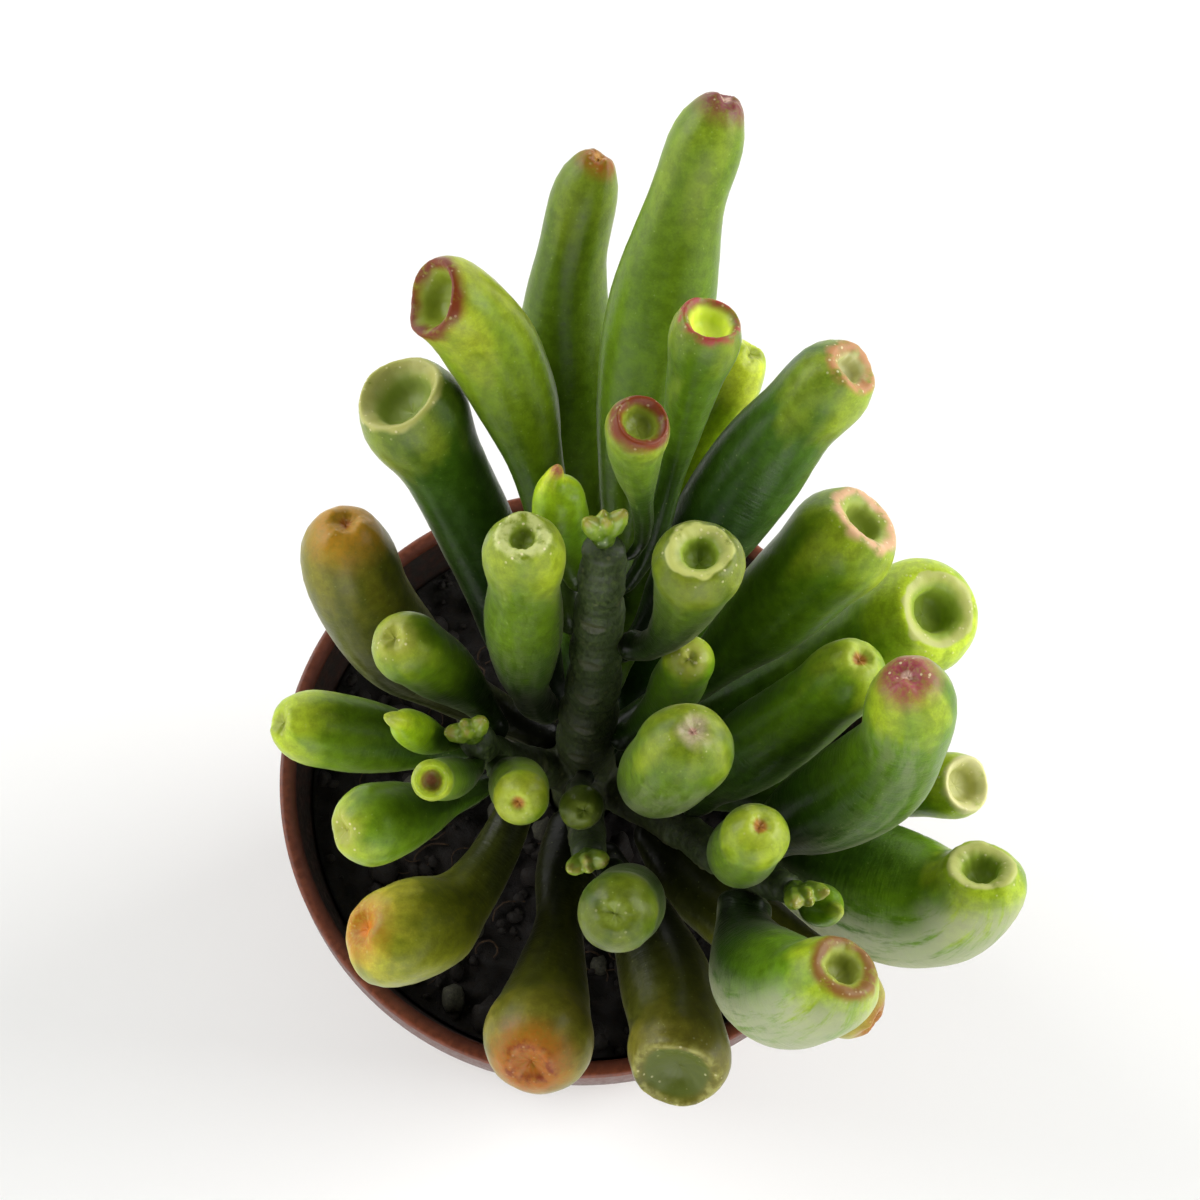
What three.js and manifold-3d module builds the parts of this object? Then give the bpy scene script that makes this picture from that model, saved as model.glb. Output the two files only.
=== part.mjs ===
import * as THREE from "three";
import { mergeVertices } from "three/addons/utils/BufferGeometryUtils.js";
import Module from "manifold-3d";

// A trumpet jade: a jade plant with finger-shaped leaves that end in shallow cups, rooted in a
// small round nursery pot. Millimetres, +Z up. The origin is on the pot's axis, level with its foot.

const wasm = await Module();
wasm.setup();

// ---------------------------------------------------------------- driving dimensions

const GAP = 0.3; // air left between one solid and the next

const POT = {
  height: 52,
  rimRadius: 30, // outside the lip
  footRadius: 21.5,
  footChamfer: 0.7,
  wall: 1,
  floor: 1.6,
  lipHeight: 5,
  lipOverhang: 0.6,
  lipRound: 0.5,
  sides: 48,
  drains: 5,
  drainRadius: 2.2,
  drainRing: 14,
  drainSides: 10,
};

const SOIL = {
  level: 46, // mean height of the surface, below the pot's brim
  relief: 0.8, // of the crumbs, up and down
  rings: 9,
  sides: 40,
  evenEdge: 2, // mm by the wall over which the crumbs level out
  holeFloor: 36.7, // the trunk's foot stands GAP above this
};

// The shoots, each along a smooth path through its points, from its root to its growing tip.
const SHOOTS = {
  main: { path: [[0, 0, 37], [0, 0, 48], [0.5, 1.5, 62], [1.5, 5, 80], [2, 9, 94]], thick: [6.6, 3.8] },
  left: { path: [[-1, 0, 52], [-4, -1, 59], [-8, -2, 67], [-9.5, -2.5, 75]], thick: [3.8, 2.8] },
  front: { path: [[0, -1, 54], [0.3, -5.5, 57.5], [0.6, -9.5, 62], [0.6, -11.5, 66.5]], thick: [4.2, 3.0] },
  right: { path: [[1, -0.5, 52], [7, -5, 57], [14, -12, 65], [18.5, -16.5, 75]], thick: [4.2, 3.0] },
};
const SHOOT_SIDES = 12;
const SHOOT_STEP = 3; // between rings of the bark
const SCAR_SPACING = 6; // from one swollen leaf scar to the next
const SCAR_SWELL = 0.07; // share of the radius
const SCARS_BEGIN = [10, 16]; // the bark is smooth below the first and fully scarred above the second
const CROWN = 0.3; // height of a shoot's rounded end over its thickness there
const BARK_BALLS = 24; // balls that stand for one shoot where leaves give way

// How each kind of leaf tip closes: rings as [advance along the tip's axis, radius], then the
// middle's advance, all in units of the mouth's radius.
const TIPS = {
  cup: { rings: [[-0.3, 1.0], [0, 0.84], [-0.2, 0.62], [-0.6, 0.44]], middle: -0.7 },
  ring: { rings: [[-0.42, 1.0], [-0.03, 0.68], [-0.12, 0.44], [-0.5, 0.3]], middle: -0.6 },
  dish: { rings: [[-0.4, 1.0], [-0.04, 0.8], [-0.16, 0.56], [-0.3, 0.28]], middle: -0.34 },
  blunt: { rings: [[-0.62, 1.0], [-0.18, 0.7], [-0.02, 0.38], [-0.1, 0.18]], middle: -0.16 },
  point: { rings: [[-1.9, 1.0], [-1.0, 0.72], [-0.4, 0.42], [-0.12, 0.2]], middle: 0 },
};
const LEAF_SIDES = 10;
const LEAF_STATIONS = [0.05, 0.16, 0.32, 0.5, 0.68, 0.84]; // along the leaf, up to its tip
const LEAF_FLATNESS = 0.94; // thickness over width
const LEAF_BASE = 0.45; // width at the root over full width
const LEAF_SWELL = 12; // mm over which a leaf widens from its root
const LEAVE_REACH = 0.16; // how far a leaf heads straight off its shoot, as a share of its length
const NECK = 0.95; // width of a leaf just under its mouth over the mouth's width
const NECK_BEGINS = 0.6; // share of the length where a leaf starts to narrow or widen to its neck

// Each shoot ends in a growing tip: pairs of young leaves, each pair at right angles to the last,
// on a small core. length and girth: mm; spread: degrees off the shoot's axis; lift: mm up the core.
const YOUNG_PAIRS = [
  { length: 3.8, girth: 2.1, spread: 30, lift: 0.7 },
  { length: 2.7, girth: 1.5, spread: 12, lift: 1.3 },
];
const YOUNG_SHAPE = [[0.1, 0.7], [0.4, 1], [0.72, 0.8], [0.93, 0.35]]; // [along, width] as shares
const YOUNG_SIDES = 8;
const CORE = [[0, 1.0], [0.8, 1.15], [1.7, 0.85]]; // height and radius of the core's rings
const CORE_TOP = 2.2;
const TIP_BALL = 2.2; // radius of the ball that stands for a growing tip where leaves give way

const COLOURS = {
  lime: 0x93bf3a,
  fresh: 0x6fa62e,
  green: 0x55902a,
  deep: 0x3f7a24,
  olive: 0x7f9340,
};

// The leaves. at: mm up the shoot; tip: the middle of the mouth, mm; faces: heading and rise of
// the tip end, degrees round from +X and above level; reach: how far back from the tip the leaf
// keeps that way, as a share of its length; girth and mouth: mm across.
const LEAVES = [
  // shoot, at, tip, faces, reach, girth, mouth, kind, colour
  ["main", 48, [11.3, 43.4, 111.5], [51, 39], 0.4, 9.6, 4.8, "blunt", "green"],
  ["main", 36, [1.6, 43.2, 100.5], [56, 48], 0.4, 9.6, 4.2, "blunt", "green"],
  ["main", 42, [-13.6, 30.5, 100], [190, 44], 0.34, 9.6, 7.8, "cup", "lime"],
  ["main", 24, [-14.9, 24.2, 93], [150, 64], 0.45, 8.2, 10.2, "cup", "deep"],
  ["main", 49, [10.1, 22.2, 112], [56, 58], 0.35, 5.6, 5.6, "cup", "green"],
  ["main", 56.5, [5.5, 14.9, 112], [40, 75], 0.35, 5.2, 5, "cup", "fresh"],
  ["main", 28, [15, 29.5, 89], [41, 43], 0.35, 7.8, 5.4, "blunt", "lime"],
  ["main", 38, [24.2, 22.9, 100], [24, 52], 0.35, 9, 6.6, "ring", "deep"],
  ["main", 21, [25.3, 15.1, 84], [35, 40], 0.35, 9.8, 9.4, "ring", "green"],
  ["main", 45, [9.4, 7.8, 101], [10, 80], 0.35, 9.4, 8.2, "ring", "fresh"],
  ["main", 14, [32.6, 9.8, 75], [-20, 62], 0.35, 9.6, 10.6, "ring", "green"],
  ["main", 29, [-4.9, 9.3, 101], [60, 80], 0.45, 8, 5.8, "ring", "fresh"],
  ["main", 50, [-2, 15, 97], [100, 62], 0.35, 5, 1.8, "point", "lime"],
  ["main", 19, [-22.5, 16.2, 80], [76, 64], 0.62, 10.8, 7.6, "blunt", "olive"],
  ["main", 22, [1.5, -9.8, 72.5], [-90, 75], 0.3, 6.2, 5.8, "blunt", "deep"],
  ["main", 12.5, [-3.6, -30.6, 66], [-108, 37], 0.35, 11.4, 10, "blunt", "olive"],
  ["main", 27, [9, 1, 84], [-60, 86], 0.3, 10.4, 10, "blunt", "green"],
  ["main", 17, [2, 24, 63], [85, 30], 0.35, 7.6, 6, "blunt", "green"],
  ["main", 11, [14.5, 19.5, 60], [54, 30], 0.35, 7.6, 6, "ring", "deep"],

  ["left", 8, [-20, -17.2, 66], [178, 38], 0.55, 12.6, 11, "blunt", "olive"],
  ["left", 16, [-15.3, 4, 86], [170, 55], 0.35, 7, 6, "blunt", "fresh"],
  ["left", 23.5, [-17, -3, 84], [178, 40], 0.35, 3.6, 1.6, "point", "lime"],
  ["left", 23, [-11.5, -9, 86], [-105, 55], 0.35, 4, 3.4, "cup", "fresh"],
  ["left", 21, [-6.8, -10.4, 84], [-75, 52], 0.35, 5.4, 4.6, "blunt", "lime"],
  ["left", 6, [-28.2, 2.4, 66], [180, 35], 0.35, 8.2, 6.4, "blunt", "fresh"],
  ["left", 12.8, [-22.4, -11.8, 73], [-168, 45], 0.35, 8.2, 7.2, "blunt", "fresh"],

  ["front", 9, [7.4, -32.2, 69], [-88, 40], 0.35, 10.6, 9.8, "dish", "olive"],
  ["front", 15, [1.8, -21, 88], [-75, 72], 0.35, 7.6, 6.4, "blunt", "green"],

  ["right", 29, [16.5, -13.7, 90], [-50, 86], 0.35, 6.6, 5.6, "blunt", "fresh"],
  ["right", 10, [10.1, -5.8, 95], [58, 82], 0.35, 10, 7.4, "blunt", "fresh"],
  ["right", 27, [27.6, -1.6, 96], [100, 64], 0.7, 9.4, 6.4, "blunt", "green"],
  ["right", 14, [24.8, 1.2, 84], [45, 58], 0.35, 8.4, 6.4, "blunt", "green"],
  ["right", 9, [35.5, -6, 69], [-12, 50], 0.35, 6.6, 5.8, "cup", "fresh"],
  ["right", 19, [35.6, -13.4, 75], [76, 58], 0.6, 12.6, 8.2, "ring", "green"],
  ["right", 26, [23.7, -24.8, 87], [42, 64], 0.55, 11.3, 7.8, "ring", "green"],
  ["right", 7, [28, -26, 57], [-42, 10], 0.35, 8, 7, "blunt", "olive"],
  ["right", 31, [22, -19, 78], [-5, 36], 0.35, 4.4, 2.4, "point", "fresh"],
];

// How crowded leaves give way: each is a chain of balls, and balls that touch are first pushed
// apart, mostly along GIVE_WAY so that the plant keeps its outline seen from that side. What still
// touches is then pressed slimmer.
const GIVE_WAY = new THREE.Vector3(0, -0.31, 0.95);
const SIDEWAYS_SHARE = 0.25; // of a push that may go across GIVE_WAY
const CHAIN = 14; // balls in a leaf
const FIRST_BALL = 0.08; // share of the leaf's length where its first ball lies
const LAST_BALL = 0.3; // how far short of the mouth the last one lies, as a share of the mouth's width
const CLEARANCE = 0.45; // mm between the balls of two leaves
const PUSH_ROUNDS = 150;
const PRESS_ROUNDS = 120;
const PUSH = 0.25; // share of a lack of room that one round's push makes up
const PRESS = 0.3; // share that one round's pressing makes up
const LEAST_LEVERAGE = 0.15; // keeps a push near a leaf's root from swinging its tip far
const SLIM_STEP = 0.12; // most that the slimming may change from one ball to the next
const SLIMMEST = 0.4; // least width over the width as grown
const LIP_BALL = 1.6; // radius of the ball in the pot's lip nearest a leaf
const SOIL_BALL = 8; // radius of the ball in the soil under a leaf
const FURTHEST = [0, 1.5, 3, 1.5]; // mm that each point of a leaf's centre line may move

// ---------------------------------------------------------------- shared geometry

const mix = THREE.MathUtils.lerp;
const smooth = (x, low, high) => THREE.MathUtils.smoothstep(x, low, high);
const vector = ([x, y, z]) => new THREE.Vector3(x, y, z);

// A closed skin over rings of points, with a pole before the first ring and after the last.
function skin(firstPole, rings, lastPole) {
  const sides = rings[0].length;
  const points = [firstPole, ...rings.flat(), lastPole];
  const last = points.length - 1;
  const faces = [];
  for (let i = 0; i < sides; i++) {
    const j = (i + 1) % sides;
    faces.push(0, 1 + j, 1 + i);
    for (let k = 0; k < rings.length - 1; k++) {
      const near = 1 + k * sides;
      const far = near + sides;
      faces.push(near + i, near + j, far + i, near + j, far + j, far + i);
    }
    const top = 1 + (rings.length - 1) * sides;
    faces.push(last, top + i, top + j);
  }
  const geometry = new THREE.BufferGeometry().setFromPoints(points);
  geometry.setIndex(faces);
  return geometry;
}

// Directions across a curve at several places, carried along it without twisting.
function carriedAcross(tangents, first) {
  let across = first.clone();
  return tangents.map((tangent) => {
    across = across.clone().addScaledVector(tangent, -across.dot(tangent)).normalize();
    return across;
  });
}

function ringAbout(centre, across, beside, radius, sides, flatness = 1) {
  return Array.from({ length: sides }, (_, i) => {
    const angle = (i / sides) * 2 * Math.PI;
    return centre
      .clone()
      .addScaledVector(beside, radius * Math.cos(angle))
      .addScaledVector(across, radius * flatness * Math.sin(angle));
  });
}

function solidOf(geometry) {
  const bare = geometry.clone();
  bare.deleteAttribute("normal");
  bare.deleteAttribute("uv");
  const merged = mergeVertices(bare, 1e-4);
  return new wasm.Manifold(
    new wasm.Mesh({
      numProp: 3,
      vertProperties: merged.attributes.position.array,
      triVerts: new Uint32Array(merged.index.array),
    }),
  );
}

function geometryOf(solid) {
  const mesh = solid.getMesh();
  const geometry = new THREE.BufferGeometry();
  geometry.setAttribute("position", new THREE.BufferAttribute(mesh.vertProperties, 3));
  geometry.setIndex(new THREE.BufferAttribute(mesh.triVerts, 1));
  return geometry;
}

function joined(geometries) {
  return geometryOf(geometries.map(solidOf).reduce((whole, piece) => whole.add(piece)));
}

// ---------------------------------------------------------------- pot and soil

const wallRadius = (z) => mix(POT.footRadius, POT.rimRadius - POT.lipOverhang, z / POT.height);
const innerRadius = (z) => wallRadius(z) - POT.wall;

function potGeometry() {
  const { height, rimRadius, footRadius, footChamfer, floor, lipHeight, lipRound } = POT;
  const underLip = height - lipHeight;
  const profile = [
    [0, 0],
    [footRadius - footChamfer, 0],
    [wallRadius(footChamfer), footChamfer],
    [wallRadius(underLip), underLip],
    [rimRadius - 0.5 * lipRound, underLip],
    [rimRadius, underLip + lipRound],
    [rimRadius, height - lipRound],
    [rimRadius - lipRound, height],
    [innerRadius(height) + 0.5 * lipRound, height],
    [innerRadius(height - lipRound), height - lipRound],
    [innerRadius(floor), floor],
    [0, floor],
  ].map(([radius, z]) => new THREE.Vector2(radius, z));
  const body = new THREE.LatheGeometry(profile, POT.sides).rotateX(Math.PI / 2);
  let solid = solidOf(body);
  const drain = new THREE.CylinderGeometry(POT.drainRadius, POT.drainRadius, 4 * floor, POT.drainSides);
  drain.rotateX(Math.PI / 2).translate(POT.drainRing, 0, 0);
  for (let i = 0; i < POT.drains; i++) {
    const turned = drain.clone().rotateZ((i / POT.drains) * 2 * Math.PI);
    solid = solid.subtract(solidOf(turned));
  }
  return geometryOf(solid);
}

// Height of the crumbs above the soil's mean level.
function crumbs(x, y) {
  const broad = Math.sin(0.31 * x + 1.3) * Math.cos(0.27 * y - 0.4);
  const lumps = Math.sin(0.83 * x + 0.9 * y) * Math.sin(1.07 * y - 0.6 * x + 2);
  return SOIL.relief * (0.6 * broad + 0.6 * lumps);
}

function soilGeometry() {
  const holeRadius = SHOOTS.main.thick[0] / 2 + GAP;
  const foot = POT.floor + GAP;
  const edge = innerRadius(SOIL.level) - GAP;
  const surface = Array.from({ length: SOIL.rings }, (_, i) => {
    const share = i / (SOIL.rings - 1);
    return [mix(edge, holeRadius, share), SOIL.level];
  });
  const profile = [
    [0, foot],
    [innerRadius(foot) - GAP, foot],
    ...surface,
    [holeRadius, SOIL.holeFloor],
    [0, SOIL.holeFloor],
  ].map(([radius, z]) => new THREE.Vector2(radius, z));
  const geometry = new THREE.LatheGeometry(profile, SOIL.sides).rotateX(Math.PI / 2);
  const places = geometry.attributes.position;
  for (let i = 0; i < places.count; i++) {
    const [x, y, z] = [places.getX(i), places.getY(i), places.getZ(i)];
    const fromWall = smooth(edge - Math.hypot(x, y), 0, SOIL.evenEdge);
    if (Math.abs(z - SOIL.level) < 1e-3) places.setZ(i, z + fromWall * crumbs(x, y));
  }
  return geometryOf(solidOf(geometry));
}

// ---------------------------------------------------------------- shoots

const curves = Object.fromEntries(
  Object.entries(SHOOTS).map(([name, { path }]) => [name, new THREE.CatmullRomCurve3(path.map(vector))]),
);

// Radius of a shoot at a share of its length, swollen at the scars of shed leaves.
function shootRadius(name, share) {
  const [foot, top] = SHOOTS[name].thick;
  const along = share * curves[name].getLength();
  const scars = SCAR_SWELL * Math.cos((along / SCAR_SPACING) * 2 * Math.PI);
  return (mix(foot, top, share) / 2) * (1 + scars * smooth(along, ...SCARS_BEGIN));
}

// A point straight on past a shoot's end.
function endOf(name, past) {
  const curve = curves[name];
  return curve.getPointAt(1).addScaledVector(curve.getTangentAt(1), past);
}

function shootGeometry(name) {
  const curve = curves[name];
  const steps = Math.round(curve.getLength() / SHOOT_STEP);
  const shares = Array.from({ length: steps + 1 }, (_, i) => i / steps);
  const tangents = shares.map((share) => curve.getTangentAt(share));
  const acrosses = carriedAcross(tangents, new THREE.Vector3(0.2, 1, 0.1));
  const rings = shares.map((share, i) => {
    const beside = acrosses[i].clone().cross(tangents[i]);
    return ringAbout(curve.getPointAt(share), acrosses[i], beside, shootRadius(name, share), SHOOT_SIDES);
  });
  return skin(curve.getPointAt(0), rings, endOf(name, CROWN * SHOOTS[name].thick[1]));
}

// Where a shoot's growing tip stands: just clear of the crown of its bark.
const tipSeat = (name) => endOf(name, CROWN * SHOOTS[name].thick[1] + GAP);

function youngLeaf(seat, axis, side, { length, girth, spread, lift }) {
  const way = axis.clone().applyAxisAngle(side.clone().cross(axis), -THREE.MathUtils.degToRad(spread));
  const root = seat.clone().addScaledVector(axis, lift);
  const across = axis.clone().addScaledVector(way, -axis.dot(way)).normalize();
  const beside = across.clone().cross(way);
  const at = (share) => root.clone().addScaledVector(way, share * length);
  const rings = YOUNG_SHAPE.map(([share, wide]) =>
    ringAbout(at(share), across, beside, (wide * girth) / 2, YOUNG_SIDES),
  );
  return skin(root, rings, at(1));
}

function growingTipGeometry(name) {
  const seat = tipSeat(name);
  const axis = curves[name].getTangentAt(1);
  const [across] = carriedAcross([axis], new THREE.Vector3(1, 0.3, 0));
  const beside = across.clone().cross(axis);
  const at = (height) => seat.clone().addScaledVector(axis, height);
  const rings = CORE.map(([height, radius]) => ringAbout(at(height), across, beside, radius, YOUNG_SIDES));
  const core = skin(seat, rings, at(CORE_TOP));
  const sides = [across, beside];
  const young = YOUNG_PAIRS.flatMap((pair, k) =>
    [1, -1].map((way) => youngLeaf(seat, axis, sides[k % 2].clone().multiplyScalar(way), pair)),
  );
  return joined([core, ...young]);
}

// ---------------------------------------------------------------- leaves

const polar = (heading, rise) => {
  const [round, up] = [heading, rise].map(THREE.MathUtils.degToRad);
  return new THREE.Vector3(Math.cos(up) * Math.cos(round), Math.cos(up) * Math.sin(round), Math.sin(up));
};

// A leaf's centre line: off its shoot's bark at right angles, then in one bend to its tip.
function layLeaf([shoot, at, tip, faces, reach, girth, mouth, kind, colour]) {
  const share = at / curves[shoot].getLength();
  const axis = curves[shoot].getTangentAt(share);
  const end = vector(tip);
  const line = end.clone().sub(curves[shoot].getPointAt(share));
  const outward = line.clone().addScaledVector(axis, -line.dot(axis)).normalize();
  const root = curves[shoot].getPointAt(share).addScaledVector(outward, shootRadius(shoot, share) + GAP);
  const length = root.distanceTo(end);
  const leave = root.clone().addScaledVector(outward, LEAVE_REACH * length);
  const arrive = end.clone().addScaledVector(polar(...faces), -reach * length);
  const controls = [root, leave, arrive, end];
  const home = controls.map((point) => point.clone());
  const slim = Array(CHAIN).fill(1);
  return { shoot, length, girth, mouth, kind, colour, axis, controls, home, slim };
}

const centreLine = (leaf) => new THREE.CubicBezierCurve3(...leaf.controls);

// Where along a leaf the balls of its chain lie, from its root to just short of its mouth.
const lastBall = (leaf) => 1 - (LAST_BALL * leaf.mouth) / leaf.length;
const ballShare = (leaf, i) => mix(FIRST_BALL, lastBall(leaf), i / (CHAIN - 1));

// Half width of a leaf's body at a share of its length, as it grows and as it is pressed.
function grownRadius({ length, girth, mouth }, share) {
  const body = mix(LEAF_BASE, 1, smooth(share * length, 0, Math.min(LEAF_SWELL, length / 2)));
  return mix(body * girth, NECK * mouth, smooth(share, NECK_BEGINS, 1)) / 2;
}

function pressedRadius(leaf, share) {
  const place = THREE.MathUtils.clamp(
    ((share - FIRST_BALL) / (lastBall(leaf) - FIRST_BALL)) * (CHAIN - 1),
    0,
    CHAIN - 1.001,
  );
  const i = Math.floor(place);
  return grownRadius(leaf, share) * mix(leaf.slim[i], leaf.slim[i + 1], place - i);
}

function leafGeometry(leaf) {
  const line = centreLine(leaf);
  const { rings: tipRings, middle } = TIPS[leaf.kind];
  const mouthRadius = (leaf.mouth / 2) * leaf.slim.at(-1);
  const tipShare = 1 + tipRings[0][0] * (mouthRadius / leaf.length);
  const shares = LEAF_STATIONS.map((station) => station * tipShare);
  const tangents = [...shares, 1].map((share) => line.getTangent(share));
  const acrosses = carriedAcross(tangents, leaf.axis);
  const body = shares.map((share, i) => {
    const beside = acrosses[i].clone().cross(tangents[i]);
    const radius = pressedRadius(leaf, share);
    return ringAbout(line.getPoint(share), acrosses[i], beside, radius, LEAF_SIDES, LEAF_FLATNESS);
  });
  const across = acrosses.at(-1);
  const forward = tangents.at(-1);
  const beside = across.clone().cross(forward);
  const at = (advance) => leaf.controls[3].clone().addScaledVector(forward, advance * mouthRadius);
  const mouth = tipRings.map(([advance, wide]) =>
    ringAbout(at(advance), across, beside, wide * mouthRadius, LEAF_SIDES),
  );
  return skin(leaf.controls[0], [...body, ...mouth], at(middle));
}

// ---------------------------------------------------------------- leaves that give way

function ballsAlong(leaf) {
  const line = centreLine(leaf);
  return leaf.slim.map((slim, i) => {
    const share = ballShare(leaf, i);
    const radius = grownRadius(leaf, share) * slim;
    return { leaf, i, share, centre: line.getPoint(share), along: line.getTangent(share), radius };
  });
}

// Moves a leaf's bend and tip so that its centre line goes by shift at a share of its length.
function bend({ leaf, share }, shift) {
  const rest = 1 - share;
  const weights = [0, 3 * share * rest * rest, 3 * share * share * rest, share ** 3];
  const total = Math.max(weights.reduce((sum, weight) => sum + weight * weight, 0), LEAST_LEVERAGE);
  leaf.controls.forEach((point, i) => {
    point.addScaledVector(shift, (PUSH * weights[i]) / total).sub(leaf.home[i]);
    point.clampLength(0, FURTHEST[i]).add(leaf.home[i]);
  });
}

// How far a ball has to move to clear another, mostly along GIVE_WAY and never along its leaf.
function shiftClear(ball, other, lack) {
  const apart = ball.centre.clone().sub(other.centre).normalize();
  const along = GIVE_WAY.clone().multiplyScalar(apart.dot(GIVE_WAY));
  const way = apart.clone().sub(along).multiplyScalar(SIDEWAYS_SHARE).add(along);
  way.addScaledVector(ball.along, -way.dot(ball.along));
  return way.multiplyScalar(lack / Math.max(way.dot(apart), 0.5 * way.length(), 1e-6));
}

const lackBetween = (ball, other) =>
  ball.radius + other.radius + CLEARANCE - ball.centre.distanceTo(other.centre);

function press({ leaf, i, radius }, lack) {
  leaf.slim[i] = Math.max(leaf.slim[i] - (PRESS * lack) / radius, SLIMMEST);
}

// Each leaf's slimness is evened out along it, without widening what was pressed.
function evenOut({ slim }) {
  slim.forEach((own, i) => {
    const beside = Math.min(slim[i - 1] ?? 1, slim[i + 1] ?? 1);
    slim[i] = Math.min(own, beside + SLIM_STEP);
  });
}

// Balls that no leaf can move: along the shoots, at their growing tips, and those of the pot's lip
// and the soil that lie nearest a ball of a leaf.
const barks = Object.keys(SHOOTS).flatMap((name) =>
  Array.from({ length: BARK_BALLS }, (_, i) => i / (BARK_BALLS - 1)).map((share) => ({
    centre: curves[name].getPointAt(share),
    radius: shootRadius(name, share),
  })),
);

const growingTips = Object.keys(SHOOTS).map((name) => ({
  centre: tipSeat(name).addScaledVector(curves[name].getTangentAt(1), TIP_BALL),
  radius: TIP_BALL,
}));

function fixedBallsBy(ball) {
  const { x, y, z } = ball.centre;
  const out = Math.hypot(x, y);
  const lipRing = POT.rimRadius - LIP_BALL;
  const lip = new THREE.Vector3((x / out) * lipRing, (y / out) * lipRing, POT.height - LIP_BALL);
  const near = [{ centre: lip, radius: LIP_BALL }];
  if (out < lipRing) {
    const under = Math.min(z - 1, SOIL.level + SOIL.relief - SOIL_BALL);
    near.push({ centre: new THREE.Vector3(x, y, under), radius: SOIL_BALL });
  }
  return ball.i < 2 ? near : [...barks, ...growingTips, ...near];
}

function giveWay(leaves) {
  for (let round = 0; round < PUSH_ROUNDS + PRESS_ROUNDS; round++) {
    const pressing = round >= PUSH_ROUNDS;
    const chains = leaves.map(ballsAlong);
    chains.forEach((chain, k) => {
      for (const ball of chain) {
        for (const fixed of fixedBallsBy(ball)) {
          const lack = lackBetween(ball, fixed);
          if (lack <= 0) continue;
          bend(ball, ball.centre.clone().sub(fixed.centre).setLength(lack));
          if (pressing) press(ball, lack);
        }
        for (const other of chains.slice(k + 1).flat()) {
          const lack = lackBetween(ball, other) / 2;
          if (lack <= 0) continue;
          bend(ball, shiftClear(ball, other, lack));
          bend(other, shiftClear(other, ball, lack));
          if (pressing) [ball, other].forEach((pressed) => press(pressed, lack));
        }
      }
    });
    leaves.forEach(evenOut);
  }
}

// ---------------------------------------------------------------- the plant

const plant = new THREE.Group();

function add(name, geometry, color, roughness) {
  const mesh = new THREE.Mesh(geometry, new THREE.MeshStandardMaterial({ color, roughness, metalness: 0 }));
  mesh.name = name;
  plant.add(mesh);
}

add("pot", potGeometry(), 0x5b2f22, 0.55);
add("soil", soilGeometry(), 0x241b15, 0.95);
add("stem", joined(Object.keys(SHOOTS).map(shootGeometry)), 0x6b6a35, 0.7);
for (const name of Object.keys(SHOOTS)) {
  add(`growing_tip_${name}`, growingTipGeometry(name), COLOURS.lime, 0.4);
}

const leaves = LEAVES.map(layLeaf);
giveWay(leaves);
const counts = {};
for (const leaf of leaves) {
  counts[leaf.shoot] = (counts[leaf.shoot] ?? 0) + 1;
  const number = String(counts[leaf.shoot]).padStart(2, "0");
  add(`leaf_${leaf.shoot}_${number}`, leafGeometry(leaf), COLOURS[leaf.colour], 0.4);
}

export default plant;
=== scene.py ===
import math
import random

import bmesh
import bpy
import numpy as np
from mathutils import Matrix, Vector, noise


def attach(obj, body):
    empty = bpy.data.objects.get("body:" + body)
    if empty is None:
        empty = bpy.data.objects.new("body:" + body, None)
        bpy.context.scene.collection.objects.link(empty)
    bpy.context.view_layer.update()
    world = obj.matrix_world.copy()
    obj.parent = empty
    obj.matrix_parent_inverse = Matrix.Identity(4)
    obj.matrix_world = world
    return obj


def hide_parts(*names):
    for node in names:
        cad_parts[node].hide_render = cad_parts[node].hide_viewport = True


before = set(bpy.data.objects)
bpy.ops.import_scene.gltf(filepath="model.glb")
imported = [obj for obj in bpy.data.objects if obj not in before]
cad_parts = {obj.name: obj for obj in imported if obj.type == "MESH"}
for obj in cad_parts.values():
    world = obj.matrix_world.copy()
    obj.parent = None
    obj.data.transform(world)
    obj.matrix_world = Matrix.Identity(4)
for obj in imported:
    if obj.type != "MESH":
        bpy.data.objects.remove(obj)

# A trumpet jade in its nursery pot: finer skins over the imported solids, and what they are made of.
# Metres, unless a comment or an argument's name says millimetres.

bpy.context.view_layer.update()

MM = 0.001
WELD = 2e-6  # points closer than this are one
TURN = 2 * math.pi

# ---- tones

# A leaf's green from its root, up its body, to its tip: dark low down, partly its own green and partly
# painted shade of the crowded middle, and light at the tip, partly painted light.
GREENS = {
    "lime": ("#2a3c08", "#4c6c0b", "#7e9a10", "#adb92c"),
    "fresh": ("#152206", "#38570a", "#668610", "#9cae26"),
    "green": ("#131f06", "#315009", "#597c0c", "#8fa31f"),
    "even": ("#33490a", "#516e0b", "#566f0c", "#6c8019"),
    "deep": ("#0c1705", "#203c09", "#3d5f0d", "#7d9023"),
    "olive": ("#121405", "#30350a", "#676b14", "#968f2c"),
}

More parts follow.
